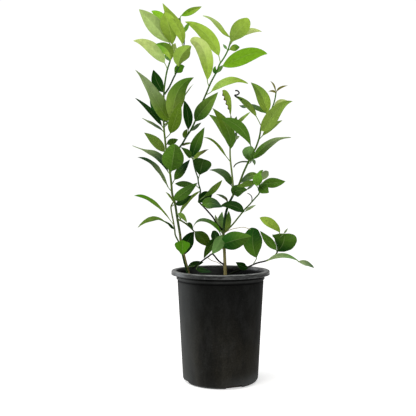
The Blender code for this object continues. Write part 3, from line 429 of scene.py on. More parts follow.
CENTRE = Stem("pale_stem pale_stem pale_stem", [
    (27, 407, -3), (28, 419, 0), (27, 435, 4), (25, 455, 8), (23, 472, 12), (21.5, 488, 15),
    (21, 505, 17), (22, 530, 19), (22.5, 555, 20), (23, 580, 20)
], 2.3, 1.6)
CENTRE_LEAVES = [
    Leaf("forest dusk", [(24, 428), (14, 446), (-1, 457), (-25, 462)], 80, -1, 20, 25, 40, 14),
    Leaf("olive moss", [(13, 491), (1, 507), (-16, 525), (-38, 533)], 78, -1, 11, 62, 55, 10),
    Leaf("mid moss", [(22, 509), (20, 537), (6, 568), (-18, 598)], 104, -1, 27, 0, 5, 14),
    Leaf("fresh", [(23, 512), (9, 552), (-26, 584)], 96, 1, 25, 0, 10, 12),
    Leaf("fresh spring", [(24, 556), (45, 573), (66, 590)], 74, 1, 11, 40, 40, 10),
    Leaf("mid", [(24, 553), (31, 566), (35, 580)], 50, 1, 11, 10, 0, 10),
    Leaf("apple", [(22.5, 580), (19, 600), (13, 620), (4, 637)], 68, -1, 18, 20, 20, 16, 0.85, skew=1.3,
         chewed=0.45),
    Leaf("sage", [(27, 526), (35, 533), (42, 535)], 26, 1, 8, 0, 0, 8),
    Leaf("dusk", [(26, 515), (31, 532), (36, 548)], 48, 1, 10, 0, 0, 8),
]

RIGHT_TOP = Stem("olive_stem green_stem green_stem green_stem sea_stem", [
    (26.2, 403.5, -5), (33, 416, -8), (41, 431, -11), (50, 455, -15), (61, 479, -19), (66, 488, -21),
    (71, 499, -23), (78, 512, -24), (84, 529, -24), (87, 542, -23), (89, 556, -22), (93, 570, -21),
    (102, 583, -20), (110, 592, -19), (116, 605, -18), (120, 620, -17), (122, 634, -16)
], 2.4, 1.4)
RIGHT_TOP_TWIG = Stem("dusk_stem dusk_stem", [
    (61, 480, -19), (46, 480, -16), (34, 475, -13), (29, 468, -10)
], 1.9, 1.2)
RIGHT_TOP_CURL = Stem("umber umber", [
    (47, 615, 15), (40, 619, 21), (34, 623, 26), (31, 626, 28), (37, 627, 28), (41, 631, 28),
    (37, 636, 28), (32, 636, 28)
], 1.9, 1.6)
# The midrib of the narrow leaf below, which carries a scrap of leaf
RIGHT_TOP_RIB = Stem("", [
    (66, 596, -3), (50, 613, 12), (34, 623, 26)
], 1.0, 1.0)
RIGHT_TOP_LEAVES = [
    Leaf("forest", [(27, 409), (39, 417), (59, 418)], 56, -1, 27, 0, 0, 14),
    Leaf("forest jade", [(67, 480), (63, 497), (58, 513)], 50, 1, 28, 0, 0, 10, 0.75),
    Leaf("mid sage", [(73, 487), (94, 511), (122, 529), (156, 533)], 106, 1, 23, 10, 72, 16,
         skew=0.7, half=0.3),
    Leaf("dusk", [(70, 484), (74, 480), (75, 472)], 18, -1, 7, 0, 0, 8),
    Leaf("olive", [(92, 537), (112, 557), (136, 571)], 68, 1, 13, 10, 20, 10),
    Leaf("olive", [(90, 549), (108, 571), (128, 598), (159, 613)], 106, -1, 30, 5, 10, 14,
         skew=0.7, half=-0.15),
    Leaf("mid dusk", [(100, 587), (82, 597), (63, 608)], 60, 1, 16, 45, 45, 8),
    Leaf("apple fresh", [(102, 588), (97, 610), (86, 633), (66, 654)], 86, -1, 28, 5, 0, 14, half=-0.3),
    Leaf("olive fresh", [(78, 580), (66, 596), (50, 613), (33, 623)], 76, 1, 17, 40, 30, 14),
    Leaf("dusk", [(60, 603), (51, 601), (41, 604)], 26, 1, 7, 0, 0, 8),
    Leaf("ochre", [(121, 633), (117, 648), (109, 657)], 30, 1, 4, 20, 20, 10),
    Leaf("ochre", [(122, 633), (132, 643), (148, 647)], 34, -1, 5, 20, 20, 10),
    Leaf("ochre", [(121, 631), (115, 635), (105, 634)], 24, -1, 5, 10, 10, 10),
    # Painted light: this leaf's pale tone stands for light shining through it from behind
    Leaf("pale", [(118, 601), (131, 611), (150, 612)], 60, 1, 13, 10, 20, 10),
    Leaf("mid", [(67, 514), (53, 542), (31, 563), (0, 574)], 98, -1, 25, 5, 0, 14, skew=1.2),
]

RIGHT_MIDDLE = Stem("olive_stem green_stem green_stem", [
    (10, 322, -8), (20, 335, -14), (30, 346, -19), (38, 356, -23), (46, 366, -26), (54, 376, -29),
    (62, 384, -31), (69, 392, -33), (77, 401, -35), (85, 411, -37), (87, 424, -39), (84, 437, -40)
], 1.8, 1.4)
RIGHT_MIDDLE_HOOK = Stem("dusk_stem dusk_stem", [
    (69, 393, -33), (69, 402, -33), (65, 408, -33), (59, 411, -33)
], 1.2, 0.9)
RIGHT_MIDDLE_LEAVES = [
    Leaf("deep", [(50, 370), (37, 380), (19, 385), (-2, 381)], 58, -1, 21, 5, 20, 12),
    Leaf("sage", [(55, 371), (65, 379), (78, 385)], 40, -1, 7, 30, 30, 8),
    Leaf("fresh", [(77, 436), (57, 431), (36, 425)], 66, -1, 13, 10, 0, 12),
    Leaf("fresh dusk", [(82, 451), (64, 448), (41, 432)], 58, 1, 16, 0, 0, 12),
    Leaf("kelly", [(80, 427), (82, 444), (88, 459)], 62, -1, 21, 0, 10, 14),
    Leaf("sage", [(88, 439), (98, 452), (105, 459)], 52, 1, 16, 0, 0, 12),
    Leaf("kelly", [(84, 445), (87, 455), (94, 462)], 40, 1, 9, 0, 0, 10),
    Leaf("mid", [(93, 434), (118, 434), (143, 437)], 78, -1, 22, 0, 0, 12),
    Leaf("forest mid", [(87, 430), (96, 420), (107, 413)], 58, -1, 24, 0, 0, 12),
    Leaf("dusk", [(77, 435), (66, 425), (57, 419)], 40, 1, 7, 40, 40, 8),
]

RIGHT_LOW = Stem("umber umber umber green_stem", [
    (14, 229, -6), (30, 237, -12), (46, 243, -18), (62, 249, -24), (80, 257, -31), (100, 262, -38),
    (112, 268, -42), (121, 275, -44), (126, 285, -42), (129, 303, -14), (131, 321, 2)
], 1.9, 1.5)
# The midrib of the long low leaf, which carries the lobe at its end
RIGHT_LOW_RIB = Stem("", [
    (125, 273, -50), (148, 273, -58), (174, 260, -65)
], 1.0, 1.0)
RIGHT_LOW_LEAVES = [
    Leaf("mid emerald", [(79, 270), (71, 303), (74, 335)], 92, 1, 44, 0, 0, 12, 0.9, half=0.25),
    Leaf("ink mid", [(126, 284), (138, 301), (141, 322)], 60, 1, 57, 0, 0, 14, 0.62),
    Leaf("mid", [(123, 286), (107, 304), (87, 328)], 74, 1, 19, 10, 10, 14),
    Leaf("apple lime", [(130, 323), (122, 336), (103, 349), (86, 357)], 66, -1, 21, 50, -10, 12, skew=1.2),
    Leaf("sage jade", [(103, 262), (125, 273), (148, 273), (174, 260)], 75, -1, 12, 30, 30, 8),
    Leaf("ink", [(60, 247), (50, 249), (42, 253), (33, 259)], 44, -1, 17, 10, 20, 16),
    Leaf("sage", [(139, 322), (144, 328), (148, 334)], 20, 1, 4, 0, 0, 6),
    Leaf("sage dusk", [(172, 260), (190, 257), (207, 246)], 39, -1, 12, 20, 40, 10),
]

LOW_TWIG = Stem("umber umber", [
    (6, 251, -8), (-4, 262, -13), (-14, 274, -18), (-19, 277, -20), (-26, 272, -21), (-36, 265, -22),
    (-46, 257, -23), (-56, 249, -23), (-64, 244, -22)
], 1.9, 1.6)
LOW_TWIG_THREAD = Stem("straw_bark straw_bark", [
    (-29, 270, -21), (-20, 263, -15), (-8, 259, -12), (2, 253, -10)
], 0.8, 0.6)
LOW_TWIG_LEAVES = [
    Leaf("deep", [(-71, 250), (-56, 255), (-37, 259)], 44, 1, 14, 0, 0, 14),
    Leaf("deep slate", [(-52, 243), (-38, 241), (-19, 237)], 40, -1, 11, 0, 0, 10),
]


class Term:
    """A number, vector or colour that nodes work out. Arithmetic on it adds the nodes."""

    def __init__(self, graph, socket):
        self.graph = graph
        self.socket = socket
        self.vector = socket.type in ("VECTOR", "RGBA")

    def joined(self, operation, other):
        return self.graph.sum_of(operation, self, other)

    def joined_behind(self, operation, other):
        return self.graph.sum_of(operation, other, self)

    def maths(self, operation, *others):
        return self.graph.maths(operation, self, *others)

    def vector_maths(self, operation, *others, out=0):
        return self.graph.vector_maths(operation, self, *others, out=out)

    def __mul__(self, other):
        if self.vector and not is_vector(other):
            return self.graph.vector_maths("SCALE", self, Scale=other)
        return self.joined("MULTIPLY", other)

    __rmul__ = __mul__
    __add__ = __radd__ = partialmethod(joined, "ADD")
    __sub__ = partialmethod(joined, "SUBTRACT")
    __rsub__ = partialmethod(joined_behind, "SUBTRACT")
    __truediv__ = partialmethod(joined, "DIVIDE")
    __pow__ = partialmethod(maths, "POWER")
    __mod__ = partialmethod(maths, "FLOORED_MODULO")
    __lt__ = partialmethod(maths, "LESS_THAN")
    __gt__ = partialmethod(maths, "GREATER_THAN")
    larger = partialmethod(maths, "MAXIMUM")
    smaller = partialmethod(maths, "MINIMUM")
    size = partialmethod(maths, "ABSOLUTE")
    root = partialmethod(maths, "SQRT")
    sine = partialmethod(maths, "SINE")
    cosine = partialmethod(maths, "COSINE")
    power_of_e = partialmethod(maths, "EXPONENT")
    whole = partialmethod(maths, "ROUND")
    dot = partialmethod(vector_maths, "DOT_PRODUCT", out="Value")
    cross = partialmethod(vector_maths, "CROSS_PRODUCT")
    unit = partialmethod(vector_maths, "NORMALIZE")
    length = partialmethod(vector_maths, "LENGTH", out="Value")

    def ramp(self, low, high, smooth=True):
        """0 at low, 1 at high, and between them in between. Low may be the larger number."""
        kind = "SMOOTHSTEP" if smooth else "LINEAR"
        return self.graph.value("ShaderNodeMapRange", {"Value": self, "From Min": low, "From Max": high},
                                interpolation_type=kind)

    def towards(self, other, share):
        """self where share is 0, other where it is 1."""
        return self + (other - self) * share

    def bell(self, width):
        """1 where self is 0, falling off on both sides."""
        return (self * self * (-1.0 / (width * width))).power_of_e()


def is_vector(thing):
    return isinstance(thing, (Vector, tuple)) or getattr(thing, "vector", False)


class Graph:
    """Adds nodes to one tree. Every node that isn't arithmetic comes from node()."""

    def __init__(self, tree):
        self.tree = tree

    def node(self, kind, sockets=None, **settings):
        """A node with its settings made first, and then the values or links of its sockets."""
        made = self.tree.nodes.new(kind)
        for name, value in settings.items():
            setattr(made, name, value)
        for key, value in (sockets or {}).items():
            self.put(self.socket_of(made.inputs, key), value)
        return made

    def socket_of(self, sockets, key):
        """The socket of that number, or of that name and in use for the node's settings."""
        if isinstance(key, int):
            return sockets[key]
        return next(socket for socket in sockets if socket.name == key and socket.enabled)

    def put(self, socket, value):
        if isinstance(value, Term):
            self.tree.links.new(value.socket, socket)
        elif isinstance(value, bpy.types.NodeSocket):
            self.tree.links.new(value, socket)
        else:
            socket.default_value = value

    def value(self, kind, sockets=None, out=0, **settings):
        """A node's output as a Term."""
        return Term(self, self.socket_of(self.node(kind, sockets, **settings).outputs, out))

    def geometry(self, kind, sockets=None, **settings):
        return self.node(kind, sockets, **settings).outputs[0]

    def maths(self, operation, *values):
        return self.value("ShaderNodeMath", dict(enumerate(values)), operation=operation)

    def vector_maths(self, operation, *values, out=0, **more):
        return self.value("ShaderNodeVectorMath", {**dict(enumerate(values)), **more}, out=out,
                          operation=operation)

    def sum_of(self, operation, first, second):
        if is_vector(first) or is_vector(second):
            return self.vector_maths(operation, first, second)
        return self.maths(operation, first, second)

    def number(self, name):
        return self.attribute(name, "FLOAT")

    def numbers(self, *names):
        return [self.number(name) for name in names]

    def vector(self, name):
        return self.attribute(name, "FLOAT_VECTOR")

    def attribute(self, name, kind):
        """An attribute of the geometry, or of the piece where the tree is a material's."""
        if self.tree.type == "SHADER":
            out = "Fac" if kind == "FLOAT" else "Vector"
            return self.value("ShaderNodeAttribute", out=out, attribute_name=name)
        return self.value("GeometryNodeInputNamedAttribute", {"Name": name}, out="Attribute",
                          data_type=kind)

    def place(self):
        """Where the point is, in metres."""
        if self.tree.type == "SHADER":
            return self.value("ShaderNodeTexCoord", out="Object")
        return self.value("GeometryNodeInputPosition")

    def noise(self, place, scale, detail=2.0, roughness=0.5, out="Fac"):
        """Soft noise from 0 to 1. The larger the scale, the smaller its blotches."""
        return self.value("ShaderNodeTexNoise", {"Vector": place, "Scale": scale, "Detail": detail,
                                                 "Roughness": roughness}, out=out)

    def vector_of(self, x, y, z):
        return self.value("ShaderNodeCombineXYZ", {"X": x, "Y": y, "Z": z})

    def part(self, vector, axis):
        return self.value("ShaderNodeSeparateXYZ", {"Vector": vector}, out=axis)

    def blend(self, share, first, second):
        """The first colour where share is 0, the second where it is 1."""
        return self.value("ShaderNodeMix", {"Factor": share, "A": first, "B": second}, out="Result",
                          data_type="RGBA")

    def random(self, seed, low=None, high=None):
        """A number from 0 to 1 for each instance, or a vector between two others."""
        if low is None:
            return self.value("FunctionNodeRandomValue", {"Seed": seed}, out="Value", data_type="FLOAT")
        return self.value("FunctionNodeRandomValue", {"Min": low, "Max": high, "Seed": seed},
                          out="Value", data_type="FLOAT_VECTOR")

    def stored(self, geometry, **numbers):
        """The geometry with these numbers stored on it, each under its own name."""
        for name, value in numbers.items():
            geometry = self.geometry("GeometryNodeStoreNamedAttribute",
                                     {"Geometry": geometry, "Name": name, "Value": value},
                                     data_type="FLOAT")
        return geometry

    def changed(self, kind, geometry, **sockets):
        """The geometry after a node that takes and gives it."""
        return self.geometry(kind, {"Geometry": geometry, **sockets})


class Skin(Graph):
    """A material. What is the same all over is set on its shader's own sockets."""

    def __init__(self, name, **constants):
        self.material = bpy.data.materials.new(name)
        self.material.use_nodes = True
        super().__init__(self.material.node_tree)
        self.shader = self.tree.nodes["Principled BSDF"]
        self.feed(**constants)

    def feed(self, **sockets):
        """Set or link the shader's sockets, and give the material."""
        for label, value in sockets.items():
            self.put(self.shader.inputs[label.replace("_", " ")], value)
        return self.material

    def bumped(self, height, depth, **normal):
        """A normal that shows a height from 0 to 1 as relief of that depth in metres."""
        sockets = {"Height": height, "Distance": depth, "Strength": 1.0, **normal}
        return self.node("ShaderNodeBump", sockets).outputs["Normal"]


class Recipe(Graph):
    """A Geometry Nodes tree with named inputs, which turns a rough mesh into a finished one."""

    def __init__(self, name, inputs):
        super().__init__(bpy.data.node_groups.new(name, "GeometryNodeTree"))
        self.tree.is_modifier = True
        for way in ("INPUT", "OUTPUT"):
            self.tree.interface.new_socket("Geometry", in_out=way, socket_type="NodeSocketGeometry")
        self.settings = {}
        for label, value in inputs.items():
            kind = {int: "NodeSocketInt", float: "NodeSocketFloat"}.get(type(value), "NodeSocketMaterial")
            socket = self.tree.interface.new_socket(label, in_out="INPUT", socket_type=kind)
            self.settings[socket.identifier] = value
        self.entry = self.tree.nodes.new("NodeGroupInput")
        self.exit = self.tree.nodes.new("NodeGroupOutput")
        self.start = self.entry.outputs["Geometry"]

    def given(self, *labels):
        """The named inputs as Terms."""
        return [Term(self, self.entry.outputs[label]) for label in labels]

    def end(self, geometry, smooth=True):
        """Realize what is left of the instances and set the material."""
        if smooth:
            geometry = self.changed("GeometryNodeSetShadeSmooth", geometry)
        real = self.changed("GeometryNodeRealizeInstances", geometry)
        painted = self.changed("GeometryNodeSetMaterial", real, Material=self.entry.outputs["Material"])
        self.tree.links.new(painted, self.exit.inputs[0])

    def make(self, name, rough):
        """The finished piece of a rough object, which is removed."""
        modifier = rough.modifiers.new(self.tree.name, "NODES")
        modifier.node_group = self.tree
        for identifier, value in self.settings.items():
            modifier[identifier] = value
        graph = bpy.context.evaluated_depsgraph_get()
        mesh = bpy.data.meshes.new_from_object(rough.evaluated_get(graph))
        bpy.data.objects.remove(rough, do_unlink=True)
        mesh.name = name
        return in_scene(name, mesh)


def in_scene(name, data):
    """A new object in the scene."""
    made = bpy.data.objects.new(name, data)
    bpy.context.scene.collection.objects.link(made)
    return made


def linear(tone):
    """A tone's colour as a renderer takes it."""
    return Vector([((value / 255 + 0.055) / 1.055) ** 2.4 for value in TONES[tone][:3]])


def seen(x, z, depth):
    """The place, in metres, of a point measured at (x, z) that lies at this depth, in millimetres."""
    scale = (depth * MM + EYE_DISTANCE) / EYE_DISTANCE
    return Vector((EYE.x + (x * MM - EYE.x) * scale, depth * MM, EYE.z + (z * MM - EYE.z) * scale))


def fine_route(stem):
    """Points (x, z, depth) about a millimetre apart along a stem."""
    line = []
    for start, end in zip(stem.route, stem.route[1:]):
        steps = max(int(math.dist(start, end)), 1)
        for step in range(steps):
            line.append([a + (b - a) * step / steps for a, b in zip(start, end)])
    line.append(list(stem.route[-1]))
    return line


def stalk_root(foot, stems):
    """Where a leaf's stalk leaves the nearest stem, a little below the foot of its blade."""
    best = None
    for stem in stems:
        line = fine_route(stem)
        for number, point in enumerate(line):
            distance = math.hypot(point[0] - foot[0], point[1] - foot[1])
            if best is None or distance < best[0]:
                best = (distance, number, line)
    distance, number, line = best
    slide = min(int(distance * STALK_SLIDE), STALK_SLIDE_MOST)
    return line[max(number - slide, STEM_START_KEPT)]


def midrib_terms(points):
    """The powers of a curve through three or four evenly spaced points, from the lowest up."""
    p = [Vector(point) for point in points]
    if len(p) == 3:
        return [p[0], -3 * p[0] + 4 * p[1] - p[2], 2 * p[0] - 4 * p[1] + 2 * p[2], Vector((0, 0))]
    return [p[0],
            -5.5 * p[0] + 9 * p[1] - 4.5 * p[2] + p[3],
            9 * p[0] - 22.5 * p[1] + 18 * p[2] - 4.5 * p[3],
            -4.5 * p[0] + 13.5 * p[1] - 13.5 * p[2] + 4.5 * p[3]]


def leaf_facts(leaf, stems, number):
    """What the leaf recipe and the leaf skins need to know of one leaf, by attribute."""
    root = stalk_root(leaf.midrib[0], stems)
    depth = root[2] + leaf.reach * STALK_REACH
    flat = math.dist(leaf.midrib[0], leaf.midrib[-1])
    foot_tone, tip_tone = leaf.tones.split()[0], leaf.tones.split()[-1]
    facts = {
        "stalk_root": seen(*root),
        "facing": EYE - seen(*leaf.midrib[0], depth),
        "foot_tone": linear(foot_tone),
        "tip_tone": linear(tip_tone),
        "depth": depth * MM,
        "reach": leaf.reach * math.sqrt(max(leaf.length ** 2 - flat ** 2, 0.0)) * MM,
        "width": leaf.width * MM,
        "stalk_radius": STALK_RADIUS * (SMALL_STALK if leaf.width <= SMALL_WIDTH else 1.0),
        "roll": math.radians(leaf.roll),
        "turn": math.radians(leaf.tip_roll - leaf.roll),
        "fold": math.radians(leaf.fold),
        "end": leaf.end,
        "skew": leaf.skew,
        "half": leaf.half,
        "chewed": leaf.chewed,
        "seed": (number * GOLDEN_SHARE) % 1.0,
        "roughness": (TONES[foot_tone][3] + TONES[tip_tone][3]) / 2,
    }
    for power, (x, z) in enumerate(midrib_terms(leaf.midrib)):
        facts[f"midrib_{power}"] = Vector((x, 0.0, z)) * MM - (EYE if power == 0 else Vector())
    return facts


def rough_mesh(name, places, edges, facts):
    """A mesh of points and edges, with what is known of each point stored by name."""
    mesh = bpy.data.meshes.new(name)
    mesh.from_pydata(places, edges, [])
    for label, first in facts[0].items():
        vector = isinstance(first, Vector)
        attribute = mesh.attributes.new(label, "FLOAT_VECTOR" if vector else "FLOAT", "POINT")
        if vector:
            attribute.data.foreach_set("vector", [value for fact in facts for value in fact[label]])
        else:
            attribute.data.foreach_set("value", [fact[label] for fact in facts])
    return in_scene(name, mesh)


def midrib_place(graph, share):
    """The place on the midrib at a share of the blade's length, carried along the line of sight."""
    flat = graph.vector("midrib_0")
    power = share
    for number in (1, 2, 3):
        flat = flat + graph.vector(f"midrib_{number}") * power
        power = power * share
    depth = graph.number("depth") + graph.number("reach") * share
    return flat * (1.0 + depth / EYE_DISTANCE) + tuple(EYE)


def side_veins(along, edge, seed):
    """How many side veins are passed on the way to a point. Each one is lowest at VEIN_LOWEST."""
    return along * VEINS - edge * (VEIN_SLANT + seed)


def leaf_grids(recipe):
    """A grid for each leaf. Each point knows its place across and along the leaf, and its face.

    Across runs from -1 to 1 over the upper face and back under the lower one, where face is -1. Along
    is -1 to 0 on the stalk and 0 to 1 on the blade.
    """
    rows, stalk_rows, columns = recipe.given("Rows", "Stalk rows", "Columns")
    around = columns * 2.0 + 2.0
    grid = recipe.geometry("GeometryNodeMeshGrid", {"Size X": 1.0, "Size Y": 1.0,
                                                    "Vertices X": around + 1.0, "Vertices Y": rows + 1.0})
    corner = recipe.place() + (0.5, 0.5, 0.0)
    column = (recipe.part(corner, "X") * around).whole() % around
    row = (recipe.part(corner, "Y") * rows).whole()
    lower = column > columns + 0.5
    step = (column * 2.0 / columns - 1.0).towards((columns * 3.0 + 2.0 - column * 2.0) / columns, lower)
    across = step.size() * step * (3.0 - 2.0 * step.size())
    on_blade = (row - stalk_rows) / (rows - stalk_rows)
    along = on_blade.towards(row / stalk_rows - 1.0, row < stalk_rows)
    grid = recipe.stored(grid, across=across, along=along, face=1.0 - 2.0 * lower)
    leaves = recipe.geometry("GeometryNodeInstanceOnPoints", {"Points": recipe.start, "Instance": grid})
    return recipe.changed("GeometryNodeRealizeInstances", leaves)


def leaf_line(graph, share, stalk_share, on_stalk):
    """The line that a leaf follows from its stem to its tip, and its way there."""
    foot = midrib_place(graph, 0.0)
    ahead = midrib_place(graph, (share + TANGENT_STEP).smaller(1.0))
    behind = midrib_place(graph, (share - TANGENT_STEP).larger(0.0))
    blade_way = (ahead - behind).unit()
    start = graph.vector("stalk_root")
    stalk = foot - start
    bend = stalk_share * stalk_share * (1.0 - stalk_share)
    stalk_place = start + stalk * stalk_share + (stalk.unit() - blade_way) * (bend * stalk.length())
    stalk_way = stalk.unit().towards(blade_way, stalk_share * stalk_share * STALK_TURN).unit()
    centre = midrib_place(graph, share).towards(stalk_place, on_stalk)
    return centre, blade_way.towards(stalk_way, on_stalk).unit()


def leaf_frame(graph, way, share):
    """The ways out to the leaf's right margin and up from its upper face, turned by its roll."""
    facing = graph.vector("facing").unit()
    normal = (facing - way * facing.dot(way)).unit()
    side = way.cross(normal)
    turn = graph.number("roll") + graph.number("turn") * share
    return side * turn.cosine() - normal * turn.sine(), normal * turn.cosine() + side * turn.sine()


def leaf_outline(recipe, share, seed):
    """Half the blade's width, and how round its tip is there (1 before the tip, 0 at its end)."""
    end, skew, width, stalk_radius = recipe.numbers("end", "skew", "width", "stalk_radius")
    tooth_depth, teeth = recipe.given("Tooth depth", "Teeth")
    swell = ((share * end) ** skew * math.pi).sine().larger(0.0) ** OUTLINE_FULLNESS
    tip_start = 1.0 - ((1.0 - end) * TIP_ROUNDING).larger(SHARP_TIP)
    rounding = (1.0 - ((share - tip_start) / (1.0 - tip_start)).larger(0.0) ** 2.0).larger(0.0).root()
    tooth = 1.0 - tooth_depth * (((share + seed) * teeth) % 1.0)
    half = (width * 0.5 * swell * tooth).larger(TIP_HALF_WIDTH) * rounding
    return half.larger(stalk_radius * STALK_SWELL * (1.0 - share.ramp(*STALK_END))), rounding


def leaf_relief(recipe, share, across, seed):
    """How far the margin's waves and the side veins lift the blade."""
    edge = across.size()
    margin_wave, vein_relief = recipe.given("Margin wave", "Vein relief")
    wave_size = margin_wave * recipe.number("width") * edge * edge * share.ramp(*MARGIN_WAVE_START)
    turns = share * (MARGIN_WAVES + MARGIN_WAVES_MORE * seed) + seed * MARGIN_WAVE_PHASE
    wave = ((turns + (across > 0.0) * OTHER_MARGIN_LATER) * MARGIN_WAVE_PACE).sine() * wave_size
    veins = (side_veins(share, edge, seed) * math.tau).sine() * vein_relief
    veins = veins * edge.ramp(*VEIN_RELIEF_IN) * (1.0 - edge.ramp(*VEIN_RELIEF_OUT))
    return wave + veins * share.ramp(*BLADE_START) * (1.0 - share.ramp(*VEIN_RELIEF_TIP))


def leaf_section(recipe, share, edge, face, half, rounding):
    """Half the leaf's thickness: round on the stalk, and thin on the blade with a rib and a groove."""
    thin, rib_depth, groove_depth = recipe.given("Blade half thickness", "Rib depth", "Groove depth")
    bladed = share.ramp(*BLADE_START)
    taper = (1.0 - share).larger(0.0)
    rib = edge.bell(RIB_WIDTH) * rib_depth * taper * bladed
    groove = edge.bell(GROOVE_WIDTH) * groove_depth * taper * bladed
    round_section = (1.0 - edge * edge * ROUND_SKIN).root() * half
    blade = thin * rounding
    blade = blade.towards(blade + rib, face < 0.0) - groove * (face > 0.0)
    return round_section.towards(blade.smaller(half + rib), bladed)


def leaf_recipe(material):
    """Every leaf as one closed skin from its stalk to its tip, with a grooved and wavy blade."""
    recipe = Recipe("leaves", {
        "Rows": 54, "Stalk rows": 6, "Columns": 14,
        "Blade half thickness": 0.24 * MM, "Rib depth": 0.75 * MM, "Groove depth": 0.22 * MM,
        "Margin wave": 0.022, "Tooth depth": 0.010, "Teeth": 11.0, "Vein relief": 0.13 * MM,
        "Arch": 0.34, "Bites": 34.0, "Material": material,
    })
    leaves = leaf_grids(recipe)
    across, along, face, seed = recipe.numbers("across", "along", "face", "seed")
    fold, radius, chewed = recipe.numbers("fold", "stalk_radius", "chewed")
    arch, bites = recipe.given("Arch", "Bites")
    edge = across.size()
    share = along.larger(0.0)
    on_stalk = along < ON_STALK
    bladed = share.ramp(*BLADE_START)
    centre, way = leaf_line(recipe, share, (along + 1.0).smaller(1.0), on_stalk)
    out, up = leaf_frame(recipe, way, share)
    half, rounding = leaf_outline(recipe, share, seed)
    root_taper = ((along + 1.0) * ROOT_TAPER).smaller(1.0).larger(0.0) ** 0.5
    half = half.towards(radius, on_stalk) * root_taper
    lift = half * fold.sine() * edge * (1.0 + arch - arch * edge * edge) * bladed
    lift = lift + leaf_relief(recipe, share, across, seed) * rounding
    bite = ((share * bites + BITES_PHASE).sine() * 0.5 + 0.5) * share.ramp(*BITES_START)
    left_of_half = 1.0 - bite * chewed * (across < 0.0)
    spot = centre + out * (half * fold.cosine().towards(1.0, 1.0 - bladed) * across * left_of_half)
    spot = spot + up * (lift + face * leaf_section(recipe, share, edge, face, half, rounding))
    leaves = recipe.changed("GeometryNodeSetPosition", leaves, Position=spot)
    recipe.end(recipe.changed("GeometryNodeMergeByDistance", leaves, Distance=LEAF_WELD))
    return recipe


def stem_recipe(material):
    """Stems as round bars along their routes, with a slightly uneven skin."""
    recipe = Recipe("stems", {
        "Sides": 14, "Step": 2.0 * MM, "Unevenness": 0.35 * MM, "Lump size": 260.0, "Material": material,
    })
    sides, step, unevenness, lump_size = recipe.given("Sides", "Step", "Unevenness", "Lump size")
    curve = recipe.geometry("GeometryNodeMeshToCurve", {"Mesh": recipe.start})
    curve = recipe.geometry("GeometryNodeCurveSplineType", {"Curve": curve}, spline_type="CATMULL_ROM")
    curve = recipe.geometry("GeometryNodeResampleCurve", {"Curve": curve, "Length": step}, mode="LENGTH")
    curve = recipe.stored(curve, length=recipe.value("GeometryNodeSplineParameter", out="Length"))
    circle = recipe.geometry("GeometryNodeCurvePrimitiveCircle", {"Resolution": sides, "Radius": 1.0})
    circle = recipe.stored(circle, turn=recipe.value("GeometryNodeSplineParameter", out="Factor"))
    bars = recipe.geometry("GeometryNodeCurveToMesh", {"Curve": curve, "Profile Curve": circle,
                                                       "Scale": recipe.number("thickness"),
                                                       "Fill Caps": True})
    lumps = recipe.noise(recipe.place(), lump_size, detail=3.0) - 0.5
    offset = recipe.value("GeometryNodeInputNormal") * (lumps * unevenness)
    recipe.end(recipe.changed("GeometryNodeSetPosition", bars, Offset=offset))
    return recipe


def rough_stems(lines):
    """A mesh of loose lines, one for each (stem, points)."""
    places = []
    edges = []
    facts = []
    for stem, points in lines:
        tones = [linear(tone) for tone in stem.tones.split()]
        first = len(places)
        last = len(points) - 1
        edges += [(first + number, first + number + 1) for number in range(last)]
        places += points
        for number in range(last + 1):
            share = number / last
            spot = share * (len(tones) - 1)
            low = min(int(spot), len(tones) - 2)
            facts.append({
                "thickness": (stem.start_radius + (stem.end_radius - stem.start_radius) * share) * MM,
                "tone": tones[low].lerp(tones[low + 1], spot - low),
            })
    return rough_mesh("lines", places, edges, facts)


def growing(stem):
    """A stem with its points."""
    return (stem, [seen(*point) for point in stem.route])


def standing(stem):
    """A stem with its points and a foot deep in the soil."""
    points = growing(stem)[1]
    return (stem, [Vector((points[0].x, points[0].y, STEM_FOOT))] + points)


def rooted(stem, carrier):
    """A side stem with its points, started inside the stem that carries it."""
    points = growing(stem)[1]
    carrier_points = [seen(*point) for point in fine_route(carrier)]
    start = min(carrier_points, key=lambda place: (place - points[0]).length)
    return (stem, [start] + points[1:])


